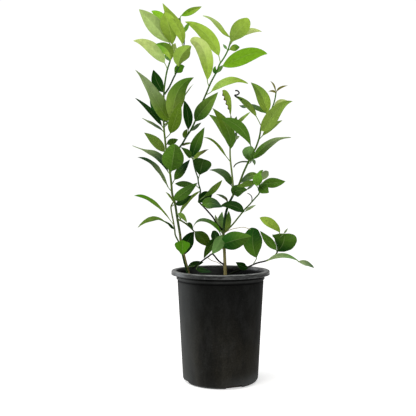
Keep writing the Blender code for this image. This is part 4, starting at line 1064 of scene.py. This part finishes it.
def leaf_material(name, sheen):
    """Leaf skin: blotched, with a pale midrib, side veins and margin, painted light and shade on its two
    halves, and a sheen on its upper face.
    """
    skin = Skin(name, Specular_IOR_Level=0.0, Coat_Roughness=0.18)
    across, along, face, seed = skin.numbers("across", "along", "face", "seed")
    half, chewed, roughness = skin.numbers("half", "chewed", "roughness")
    place = skin.place()
    edge = across.size()
    under = face.ramp(0.2, -0.2)
    blotch = skin.noise(place, 55.0, detail=3.0)
    mottle = skin.noise(place, 140.0, detail=4.0, roughness=0.75)
    grain = skin.noise(place, 900.0)

    past_vein = (side_veins(along, edge, seed) - VEIN_LOWEST + 0.5) % 1.0 - 0.5
    vein = past_vein.size().ramp(0.10, 0.0) * edge.ramp(0.03, 0.1)
    vein = vein * (1.0 - edge.ramp(0.55, 0.95)) * along.ramp(0.02, 0.1)
    rib = edge.bell(RIB_LINE_WIDTH) * (1.0 - along.ramp(0.55, 1.0) * 0.6)
    # Painted light and shade: one half lighter and the other darker, as if the fold turned one to the
    # light, by the leaf's half and a random share from its seed.
    own_half_shade = ((seed * 7.0) % 1.0 - 0.5) * PAINTED_HALF_SHADE_SPREAD
    side = (half + own_half_shade) * (across.ramp(0.05, -0.05) - 0.5)
    patchy = blotch * BLOTCH_LIGHT + (mottle - 0.5) * MOTTLE_LIGHT + grain * GRAIN_LIGHT
    light = PLAIN_LIGHT + patchy + side + vein * VEIN_LIGHT + (seed - 0.5) * LEAF_LIGHT_SPREAD
    scars = chewed.ramp(0.0, 0.1) * across.ramp(-0.45, -0.75) * mottle.ramp(0.40, 0.50)

    tone = skin.blend(along.ramp(0.15, 0.85), skin.vector("foot_tone"), skin.vector("tip_tone")) * light
    pale = skin.blend(PALE_SHARE, tone, VEIN_GREEN)
    lines = (rib * RIB_PALENESS + vein * VEIN_PALENESS) * along.ramp(-0.02, 0.02)
    tone = skin.blend(lines, tone, pale)
    tone = skin.blend(edge.ramp(0.955, 1.0) * MARGIN_PALENESS, tone, pale)
    tone = skin.blend(scars, tone, SCAR_BROWN)
    tone = skin.blend(along.ramp(0.0, -0.05) * STALK_PALENESS, tone, STALK_GREEN)
    fine = skin.bumped(grain * 0.6 + blotch * 0.4, 0.12 * MM)
    return skin.feed(Base_Color=tone,
                     Roughness=roughness + under * 0.16 + blotch * 0.10 - 0.05 + rib * 0.1,
                     Coat_Weight=(1.0 - under) * sheen,
                     Normal=skin.bumped(1.0 - vein, 0.10 * MM, Normal=fine))


def stem_material():
    """Stem skin: woody and tan or dark green as each place's tone says, streaked along its length."""
    skin = Skin("stem_skin", Specular_IOR_Level=0.05)
    turn, length = skin.numbers("turn", "length")
    place_on_bark = skin.vector_of(turn * STREAKS_ROUND, length * STREAKS_ALONG, 0.0)
    streaks = skin.noise(place_on_bark, 1.0, detail=4.0, roughness=0.65)
    specks = skin.noise(skin.place(), 700.0)
    light = 0.60 + streaks * 0.62 + specks * 0.14 + streaks.ramp(0.56, 0.70) * 0.4
    return skin.feed(Base_Color=skin.vector("tone") * light,
                     Roughness=0.52 + streaks * 0.3,
                     Normal=skin.bumped(streaks * 0.7 + specks * 0.3, 0.35 * MM))


class PotSkin(Skin):
    """Moulded black plastic, with the patterns and the parts of the pot that its marks share."""

    def __init__(self):
        super().__init__("black_plastic", Specular_IOR_Level=0.04, Coat_Roughness=0.28)
        self.spot = self.place()
        self.height = self.part(self.spot, "Z")
        self.sideways = self.part(self.spot, "X")
        self.cloud = self.noise(self.spot, 18.0, detail=4.0, roughness=0.6)
        self.upright = self.noise(self.spot * (1.0, 1.0, 0.12), 120.0, detail=3.0)
        self.band = self.noise(self.spot * (1.0, 1.0, 9.0), 34.0, detail=4.0, roughness=0.7)
        self.rim = self.height.ramp(*RIM_MARKS)
        # The lip's top edge, where a pale line is painted highlight.
        self.lip_highlight = self.height.ramp(*LIP_HIGHLIGHT_MARKS)
        self.foot = self.height.ramp(*FOOT_MARKS)
        # Browner and lighter low down, black up under the rim: partly painted shade.
        self.low = self.height.ramp(*BROWN_AND_SHADE_WALL)
        outward = (self.spot * (1.0, 1.0, 0.0)).length() - wall_radius(self.height)
        mouth = self.height.ramp(WALL_TOP + BAND_SLOPE + BAND_HEIGHT, POT_HEIGHT, smooth=False)
        self.inside = (outward - mouth * (MOUTH_RADIUS - WALL_TOP_RADIUS)).ramp(*INNER_WALL)

    def painted_left_sheen(self):
        """Painted sheen up the wall at the far left: grey standing for a reflection, streaked upright."""
        far_left = (self.sideways / wall_radius(self.height)).ramp(-0.40, -1.0)
        return far_left * (0.7 + self.upright * 0.6 + self.low * 0.3) * (1.0 - self.rim)

    def dust_and_painted_light(self):
        """How grey each place is: dust most along the foot, the rim and the ledge under it, painted sheen
        at the far left and painted light on the lit inner back wall.
        """
        cloud, sideways = self.cloud, self.sideways
        stains = self.noise(self.spot * (1.0, 1.0, 0.4), 55.0, detail=4.0, roughness=0.65).ramp(0.45, 0.68)
        specks = self.noise(self.spot, 330.0).ramp(0.62, 0.72) * cloud.ramp(0.40, 0.60)
        ledge = self.height.ramp(*LEDGE_BOTTOM) * self.height.ramp(*LEDGE_TOP)
        rim = self.rim * (RIM_DUST + self.band.ramp(0.42, 0.60) * RIM_BAND_DUST)
        lit_back = sideways.ramp(*LIT_BACK_RIGHT) * sideways.ramp(*LIT_BACK_LEFT)
        dust_and_painted_light = cloud.ramp(0.42, 0.75) * (WALL_DUST + self.low * LOW_WALL_DUST)
        # The far left's painted sheen goes in with the dust here.
        dust_and_painted_light = dust_and_painted_light + self.painted_left_sheen() * PAINTED_LEFT_SHEEN_AMOUNT + stains * STAIN_DUST + specks * SPECK_DUST
        dust_and_painted_light = dust_and_painted_light + self.foot * (FOOT_DUST + sideways.ramp(*RIGHT_FOOT) * RIGHT_FOOT_DUST)
        dust_and_painted_light = dust_and_painted_light + rim * (RIM_MORE - sideways.ramp(*FRONT_LEFT) * RIM_LEFT_LESS)
        dust_and_painted_light = dust_and_painted_light + ledge * (LEDGE_DUST + cloud * LEDGE_CLOUD_DUST)
        # Painted light on the lit left part of the inner back wall, in blotches.
        inner_painted_light = self.inside * lit_back * (INNER_BACK_PAINTED_LIGHT + cloud * INNER_CLOUD_PAINTED_LIGHT)
        return dust_and_painted_light * (1.0 - self.inside * INNER_LESS) + inner_painted_light

    def tone(self, wear_and_lip_highlight):
        """Black, browner and lighter low down (partly painted shade), dusted, with painted sheen at the far
        left and painted light inside, rubbed grey, a painted highlight on the lip and painted shade in the
        groove.
        """
        speckle = self.noise(self.spot, 300.0, detail=4.0, roughness=0.7)
        runs = self.noise(self.spot * (1.0, 1.0, 0.3), 26.0, detail=3.0).ramp(0.40, 0.58)
        # Painted shade: a near-black band in the groove under the ledge.
        groove = (self.height - (WALL_TOP - GROOVE_HEIGHT / 2)).bell(GROOVE_HEIGHT / 2)
        tone = self.blend(self.cloud, BLACK, SOFT_BLACK)
        # Browner and lighter low down, black up under the rim: partly painted shade.
        tone = self.blend(self.low * (0.25 + runs * 0.75), tone, BROWN_AND_LIT_BLACK) * (speckle * 2.4 - 0.2)
        # Dust, with the painted sheen at the far left and painted light on the inner back wall.
        tone = self.blend(self.dust_and_painted_light(), tone, DUST_AND_PAINTED_LIGHT_GREY)
        tone = self.blend(wear_and_lip_highlight * 0.6, tone, RUBBED_GREY)
        # Painted highlight: a pale streaked line along the lip's top edge.
        tone = self.blend(self.lip_highlight * (0.2 + self.band.ramp(0.35, 0.65) * 0.8), tone, PAINTED_LIP_HIGHLIGHT)
        return self.blend(groove, tone, PAINTED_GROOVE_SHADE)


def pot_material():
    """The pot's plastic, with a rubbed rim and foot, a painted highlight along the lip, and a sheen on the
    rim.
    """
    skin = PotSkin()
    rubs = skin.noise(skin.spot * (1.0, 1.0, 2.6), 210.0, detail=5.0, roughness=0.7).ramp(0.56, 0.78)
    grain = skin.noise(skin.spot, 1400.0)
    # Rubbed wear on the rim and foot, and the lip's painted highlight.
    wear_and_lip_highlight = rubs * (0.10 + skin.rim * 1.1 + skin.foot * 0.25) + skin.lip_highlight * rubs
    relief = skin.bumped(grain * 0.5 + skin.upright * 0.5, 0.10 * MM)
    return skin.feed(Base_Color=skin.tone(wear_and_lip_highlight),
                     Roughness=0.52 + skin.cloud * 0.12 + wear_and_lip_highlight * 0.20 + skin.upright * 0.08,
                     Coat_Weight=skin.rim * 0.55 * (1.0 - skin.inside),
                     Normal=skin.bumped(skin.cloud, 0.9 * MM, Normal=relief))


def soil_material():
    """Dark damp potting mix with lighter fibres."""
    skin = Skin("potting_mix", Specular_IOR_Level=0.25)
    place = skin.place()
    clods = skin.noise(place, 160.0, detail=5.0, roughness=0.7)
    fibres = skin.noise(place * (1.0, 4.0, 1.0), 420.0, detail=3.0).ramp(0.62, 0.72)
    tone = skin.blend(clods.ramp(0.3, 0.7), WET_PEAT, DRY_PEAT)
    return skin.feed(Base_Color=skin.blend(fibres * 0.6, tone, FIBRE),
                     Roughness=0.82 + clods * 0.16,
                     Normal=skin.bumped(clods, 2.2 * MM))


def crumb_material():
    """Bits of bark and peat, each with its own brown, and pale grains of perlite."""
    skin = Skin("bark_crumbs", Specular_IOR_Level=0.25)
    pick = skin.number("pick")
    mottle = skin.noise(skin.place(), 900.0, detail=3.0)
    brown = skin.blend(pick.ramp(0.0, 0.9, smooth=False), DARK_CRUMB, LIGHT_CRUMB)
    return skin.feed(Base_Color=skin.blend(pick.ramp(0.93, 0.935), brown, PERLITE) * (0.7 + mottle * 0.6),
                     Roughness=0.75 + mottle * 0.2,
                     Normal=skin.bumped(mottle, 0.5 * MM))


def arc(centre, radius, start_degrees, end_degrees, steps):
    """Points of an arc as (radius from the axis, height)."""
    points = []
    for step in range(steps + 1):
        angle = math.radians(start_degrees + (end_degrees - start_degrees) * step / steps)
        points.append((centre[0] + radius * math.cos(angle), centre[1] + radius * math.sin(angle)))
    return points


def rounded(points, reach, steps=3):
    """A profile with its sharp corners cut to small curves. Its two ends stay."""
    made = [Vector(points[0])]
    for before, corner, after in zip(points, points[1:], points[2:]):
        before, corner, after = Vector(before), Vector(corner), Vector(after)
        way_in, way_out = corner - before, after - corner
        if way_in.angle(way_out, 0.0) < MILD_CORNER:
            made.append(corner)
            continue
        cut = min(reach, way_in.length * CORNER_SHARE, way_out.length * CORNER_SHARE)
        start, end = corner - way_in.normalized() * cut, corner + way_out.normalized() * cut
        for step in range(steps + 1):
            share = step / steps
            made.append(start.lerp(corner, share).lerp(corner.lerp(end, share), share))
    return made + [Vector(points[-1])]


def wall_radius(height):
    """Outer radius of the pot's tapered wall at a height, which may be a number or a Term."""
    share = (height - FOOT_ROUND) / (WALL_TOP - FOOT_ROUND)
    return FOOT_RADIUS + (WALL_TOP_RADIUS - FOOT_RADIUS) * share


def pot_profile():
    """The pot's section from the axis out over the foot, up the wall, round the rim and back inside."""
    flange_outer = RIM_RADIUS - PLASTIC
    band_bottom = WALL_TOP + BAND_SLOPE
    band_top = band_bottom + BAND_HEIGHT
    neck = (WALL_TOP_RADIUS + NECK_OUT, band_top + NECK_SLOPE)
    web = POT_HEIGHT - PLASTIC - SKIRT_LEAN
    foot_centre = (FOOT_RADIUS - FOOT_ROUND, FOOT_ROUND)
    outside = [(0.0, 0.0)] + arc(foot_centre, FOOT_ROUND, -90, 0, steps=8) + [
        (wall_radius(WALL_TOP - GROOVE_HEIGHT), WALL_TOP - GROOVE_HEIGHT),
        (WALL_TOP_RADIUS - GROOVE_DEPTH, WALL_TOP - GROOVE_HEIGHT),
        (WALL_TOP_RADIUS - GROOVE_DEPTH, WALL_TOP),
        (BAND_RADIUS, band_bottom),
        (BAND_RADIUS + BAND_LEAN, band_top),
        neck,
        (MOUTH_RADIUS + MOUTH_ROUND, web),
    ]
    skirt = [
        (flange_outer - SKIRT_LEAN, web),
        (flange_outer, SKIRT_BOTTOM),
        (RIM_RADIUS, SKIRT_BOTTOM),
        (RIM_RADIUS + BEAD_OUT, SKIRT_BOTTOM + BEAD_HEIGHT / 2),
        (RIM_RADIUS, SKIRT_BOTTOM + BEAD_HEIGHT),
    ] + arc((RIM_RADIUS - RIM_ROUND, POT_HEIGHT - RIM_ROUND), RIM_ROUND, 0, 90, steps=6)
    inside = [
        (MOUTH_RADIUS + MOUTH_ROUND, POT_HEIGHT),
        (MOUTH_RADIUS, POT_HEIGHT - MOUTH_ROUND),
        (neck[0] - PLASTIC, neck[1]),
        (WALL_TOP_RADIUS - PLASTIC, WALL_TOP),
    ] + arc(foot_centre, FOOT_ROUND - PLASTIC, 0, -90, steps=6)[:-1] + [
        (FOOT_RADIUS - FOOT_ROUND, POT_FLOOR),
        (0.0, POT_FLOOR),
    ]
    return rounded(outside + skirt + inside, CORNER_ROUND)


def piece_from(bm, name, material):
    """Close off a bmesh as an object with its faces outwards and smooth."""
    bmesh.ops.recalc_face_normals(bm, faces=bm.faces)
    mesh = bpy.data.meshes.new(name)
    bm.to_mesh(mesh)
    bm.free()
    mesh.materials.append(material)
    mesh.shade_smooth()
    return in_scene(name, mesh)


def notch_cutter():
    """The drain notches as one guide: a block across the foot for each."""
    bm = bmesh.new()
    for number in range(NOTCHES):
        angle = FIRST_NOTCH + number * math.tau / NOTCHES
        outward = Vector((math.sin(angle), -math.cos(angle), 0.0))
        across = Vector((math.cos(angle), math.sin(angle), 0.0)) * NOTCH_WIDTH / 2
        corners = []
        for height, shrink in ((-POT_FLOOR, 1.0), (NOTCH_HEIGHT, NOTCH_TAPER)):
            for reach, side in ((NOTCH_REACH, -1), (RIM_RADIUS, -1), (RIM_RADIUS, 1), (NOTCH_REACH, 1)):
                corners.append(bm.verts.new(outward * reach + across * side * shrink
                                            + Vector((0.0, 0.0, height))))
        for corner in range(4):
            following = (corner + 1) % 4
            bm.faces.new((corners[corner], corners[following],
                          corners[following + 4], corners[corner + 4]))
        bm.faces.new(corners[:4])
        bm.faces.new(corners[4:])
    return bm


def make_pot(material):
    """The pot turned about its axis, with its drain notches cut and their edges eased."""
    bm = bmesh.new()
    verts = [bm.verts.new((radius, 0.0, height)) for radius, height in pot_profile()]
    edges = [bm.edges.new(pair) for pair in zip(verts, verts[1:])]
    bmesh.ops.spin(bm, geom=verts + edges, axis=(0, 0, 1), cent=(0, 0, 0), steps=POT_SIDES,
                   angle=math.tau, use_merge=True)
    bmesh.ops.remove_doubles(bm, verts=bm.verts, dist=WELD)
    pot = piece_from(bm, "nursery_pot", material)
    guide = piece_from(notch_cutter(), "notch_guide", material)
    notches = pot.modifiers.new("notches", "BOOLEAN")
    notches.operation = "DIFFERENCE"
    notches.solver = "EXACT"
    notches.object = guide
    edges = pot.modifiers.new("notch_edges", "BEVEL")
    edges.width = CORNER_ROUND
    edges.segments = 2
    edges.limit_method = "ANGLE"
    edges.angle_limit = SHARP_EDGE
    graph = bpy.context.evaluated_depsgraph_get()
    mesh = bpy.data.meshes.new_from_object(pot.evaluated_get(graph))
    pot.modifiers.clear()
    pot.data = mesh
    mesh.set_sharp_from_angle(angle=SHARP_EDGE)
    bpy.data.objects.remove(guide, do_unlink=True)
    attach(pot, "root")
    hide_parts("pot")


def soil_height(x, y):
    """Gently uneven top of the soil."""
    across, deep, slanted = SOIL_WAVES
    wave = math.sin(x / across) * math.cos(y / deep) + math.sin((x + y) / slanted) / 2
    return SOIL_TOP + SOIL_MOUND * wave / 2


def soil_patch():
    """The soil's uneven top, which the crumbs are strewn over."""
    bm = bmesh.new()
    radius = wall_radius(SOIL_TOP) - PLASTIC - SOIL_EDGE
    centre = bm.verts.new((0.0, 0.0, soil_height(0.0, 0.0)))
    made = []
    for ring in range(1, SOIL_RINGS + 1):
        reach = radius * ring / SOIL_RINGS
        row = []
        for side in range(SOIL_SIDES):
            angle = math.tau * side / SOIL_SIDES
            x, y = reach * math.cos(angle), reach * math.sin(angle)
            row.append(bm.verts.new((x, y, soil_height(x, y))))
        made.append(row)
    for side in range(SOIL_SIDES):
        following = (side + 1) % SOIL_SIDES
        bm.faces.new((centre, made[0][side], made[0][following]))
        for inner, outer in zip(made, made[1:]):
            bm.faces.new((inner[side], outer[side], outer[following], inner[following]))
    return bm


def crumb_recipe(material):
    """Crumbs strewn over a patch of ground, each turned, stretched and roughened its own way."""
    recipe = Recipe("crumbs", {
        "Density": 52000.0, "Seed": 7, "Smallest": 0.55 * MM, "Largest": 2.3 * MM,
        "Roughening": 1.3 * MM, "Material": material,
    })
    density, seed, smallest, largest, roughening = recipe.given("Density", "Seed", "Smallest", "Largest",
                                                                "Roughening")
    points = recipe.geometry("GeometryNodeDistributePointsOnFaces",
                             {"Mesh": recipe.start, "Density": density, "Seed": seed})
    points = recipe.stored(points, pick=recipe.random(seed + 1.0))
    span = smallest + (largest - smallest) * recipe.random(seed + 2.0) ** 3.0
    stretch = recipe.random(seed + 3.0, (0.6, 0.6, 0.35), (1.5, 1.0, 0.8))
    spin = recipe.random(seed + 4.0, (-0.5, -0.5, 0.0), (0.5, 0.5, math.tau))
    rotation = recipe.node("FunctionNodeEulerToRotation", {"Euler": spin}).outputs[0]
    ball = recipe.geometry("GeometryNodeMeshIcoSphere", {"Radius": 1.0, "Subdivisions": 2})
    crumbs = recipe.geometry("GeometryNodeInstanceOnPoints",
                             {"Points": points, "Instance": ball, "Rotation": rotation,
                              "Scale": stretch * span})
    crumbs = recipe.changed("GeometryNodeRealizeInstances", crumbs)
    rough = recipe.noise(recipe.place(), 700.0, detail=1.0, out="Color") - (0.5, 0.5, 0.5)
    crumbs = recipe.changed("GeometryNodeSetPosition", crumbs, Offset=rough * roughening)
    recipe.end(crumbs, smooth=False)
    return recipe


def make_soil(soil_skin, crumb_skin):
    """A finish for the solid soil, and the crumbs that lie on it."""
    ground = piece_from(soil_patch(), "crumb_ground", soil_skin)
    crumbs = crumb_recipe(crumb_skin).make("soil_crumbs", ground)
    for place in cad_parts["soil"].material_slots:
        place.material = soil_skin
    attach(crumbs, "root")


def grown_nodes():
    """For each grown solid: the slot of its leaves, its stems' lines, its leaves and their stems."""
    return {
        "trunk_left": ("mature_leaf", [standing(TRUNK_LEFT)], TRUNK_LEFT_LEAVES, [TRUNK_LEFT]),
        "trunk_right": ("mature_leaf", [standing(TRUNK_RIGHT), growing(TRUNK_RIGHT_THREAD)],
                        TRUNK_RIGHT_LEAVES, [TRUNK_RIGHT]),
        "shoot_left_top": ("young_leaf", [rooted(LEFT_TOP, TRUNK_LEFT), growing(LEFT_TOP_TWIG)],
                           LEFT_TOP_LEAVES, [LEFT_TOP, LEFT_TOP_TWIG]),
        "shoot_left_low": ("mature_leaf", [standing(THIN_STEM)], LEFT_LOW_LEAVES, [THIN_STEM]),
        "shoot_left_side": ("mature_leaf", [rooted(LEFT_SIDE, TRUNK_LEFT)], LEFT_SIDE_LEAVES,
                            [LEFT_SIDE]),
        "shoot_inner_top": ("young_leaf", [rooted(INNER_TOP, LEFT_TOP)], INNER_TOP_LEAVES, [INNER_TOP]),
        "shoot_middle": ("mature_leaf", [rooted(MIDDLE, TRUNK_RIGHT)], MIDDLE_LEAVES, [MIDDLE]),
        "shoot_centre": ("mature_leaf", [rooted(CENTRE, RIGHT_TOP)], CENTRE_LEAVES, [CENTRE]),
        "shoot_right_top": ("young_leaf", [rooted(RIGHT_TOP, TRUNK_RIGHT), growing(RIGHT_TOP_TWIG),
                                           growing(RIGHT_TOP_CURL)],
                            RIGHT_TOP_LEAVES, [RIGHT_TOP, RIGHT_TOP_RIB]),
        "shoot_right_middle": ("mature_leaf", [rooted(RIGHT_MIDDLE, TRUNK_RIGHT),
                                               growing(RIGHT_MIDDLE_HOOK)],
                               RIGHT_MIDDLE_LEAVES, [RIGHT_MIDDLE]),
        "shoot_right_low": ("mature_leaf", [rooted(RIGHT_LOW, TRUNK_RIGHT)], RIGHT_LOW_LEAVES,
                            [RIGHT_LOW, RIGHT_LOW_RIB]),
        "twig_low": ("mature_leaf", [rooted(LOW_TWIG, TRUNK_RIGHT), growing(LOW_TWIG_THREAD)],
                     LOW_TWIG_LEAVES, [LOW_TWIG]),
    }


def make_plant():
    """The stems and the leaves that stand for each grown solid.

    The leaves of each node are numbered from another start, so that their patterns differ.
    """
    stem_maker = stem_recipe(stem_material())
    leaf_makers = {
        "mature_leaf": leaf_recipe(leaf_material("mature_leaf_skin", 0.05)),
        "young_leaf": leaf_recipe(leaf_material("young_leaf_skin", 0.02)),
    }
    for node, (slot, lines, leaves, stems) in grown_nodes().items():
        bars = stem_maker.make(node + "_stems", rough_stems(lines))
        first = len(node)
        facts = [leaf_facts(leaf, stems, first + number) for number, leaf in enumerate(leaves)]
        feet = rough_mesh("feet", [Vector()] * len(facts), [], facts)
        blades = leaf_makers[slot].make(node + "_leaves", feet)
        for piece, finish in ((bars, "bark"), (blades, slot)):
            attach(piece, "root")
            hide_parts(node)


def make_camera():
    camera = in_scene("camera", bpy.data.cameras.new("camera"))
    camera.data.lens = LENS
    camera.data.sensor_width = SENSOR
    camera.location = EYE
    camera.rotation_euler = (math.pi / 2 - PITCH_DOWN, 0.0, 0.0)
    bpy.context.scene.camera = camera


def make_floor():
    """A pale floor that runs on past every view."""
    bm = bmesh.new()
    bmesh.ops.create_circle(bm, cap_ends=True, segments=96, radius=FLOOR_RADIUS)
    bmesh.ops.translate(bm, verts=bm.verts, vec=(0.0, 0.0, -FLOOR_DROP))
    skin = Skin("pale_floor", Roughness=0.9, Specular_IOR_Level=0.1, Emission_Strength=0.52,
                Emission_Color=WHITE)
    soft = skin.noise(skin.place(), 1.5)
    piece_from(bm, "floor", skin.feed(Base_Color=skin.blend(soft, FLOOR_WARM, FLOOR_WHITE)))


def make_world():
    """White all round to the eye, with its light stronger from above, from the left and behind."""
    world = bpy.data.worlds.new("studio")
    bpy.context.scene.world = world
    world.use_nodes = True
    graph = Graph(world.node_tree)
    way = graph.value("ShaderNodeTexCoord", out="Generated")
    above = graph.part(way, "Z").ramp(-0.1, 0.9)
    behind = graph.part(way, "Y").ramp(-0.6, 0.8)
    left = graph.part(way, "X").ramp(0.35, -0.85)
    right = graph.part(way, "X").ramp(0.0, 0.7)
    light = PLAIN_SKY + right * RIGHT_SKY + above * UPPER_SKY + left * (LEFT_SKY + behind * LEFT_BACK_SKY)
    to_eye = graph.value("ShaderNodeLightPath", out="Is Camera Ray")
    background = world.node_tree.nodes["Background"]
    graph.put(background.inputs["Strength"], light.towards(SKY_TO_EYE, to_eye))
    background.inputs["Color"].default_value = WHITE


def make_lamp(name, place, aim_height, width, watts, colour):
    """A round soft light that faces the plant's axis at a height."""
    lamp = in_scene(name, bpy.data.lights.new(name, "AREA"))
    lamp.data.energy = watts
    lamp.data.shape = "DISK"
    lamp.data.size = width
    lamp.data.color = colour
    lamp.location = place
    aim = Vector((0.0, 0.0, aim_height)) - Vector(place)
    lamp.rotation_euler = aim.to_track_quat("-Z", "Y").to_euler()


def make_studio():
    bpy.context.scene.view_settings.view_transform = "Standard"
    make_camera()
    make_floor()
    make_world()
    make_lamp("top_softbox", place=(-0.7, -0.9, 2.2), aim_height=0.5, width=1.2, watts=20.0,
              colour=(1.0, 0.99, 0.97))
    make_lamp("left_softbox", place=(-2.0, 0.6, 0.6), aim_height=0.3, width=1.4, watts=20.0,
              colour=(0.90, 0.95, 1.0))
    make_lamp("front_softbox", place=(0.8, -2.4, 1.2), aim_height=0.45, width=1.4, watts=12.0,
              colour=(1.0, 1.0, 1.0))


make_pot(pot_material())
make_soil(soil_material(), crumb_material())
make_plant()
make_studio()
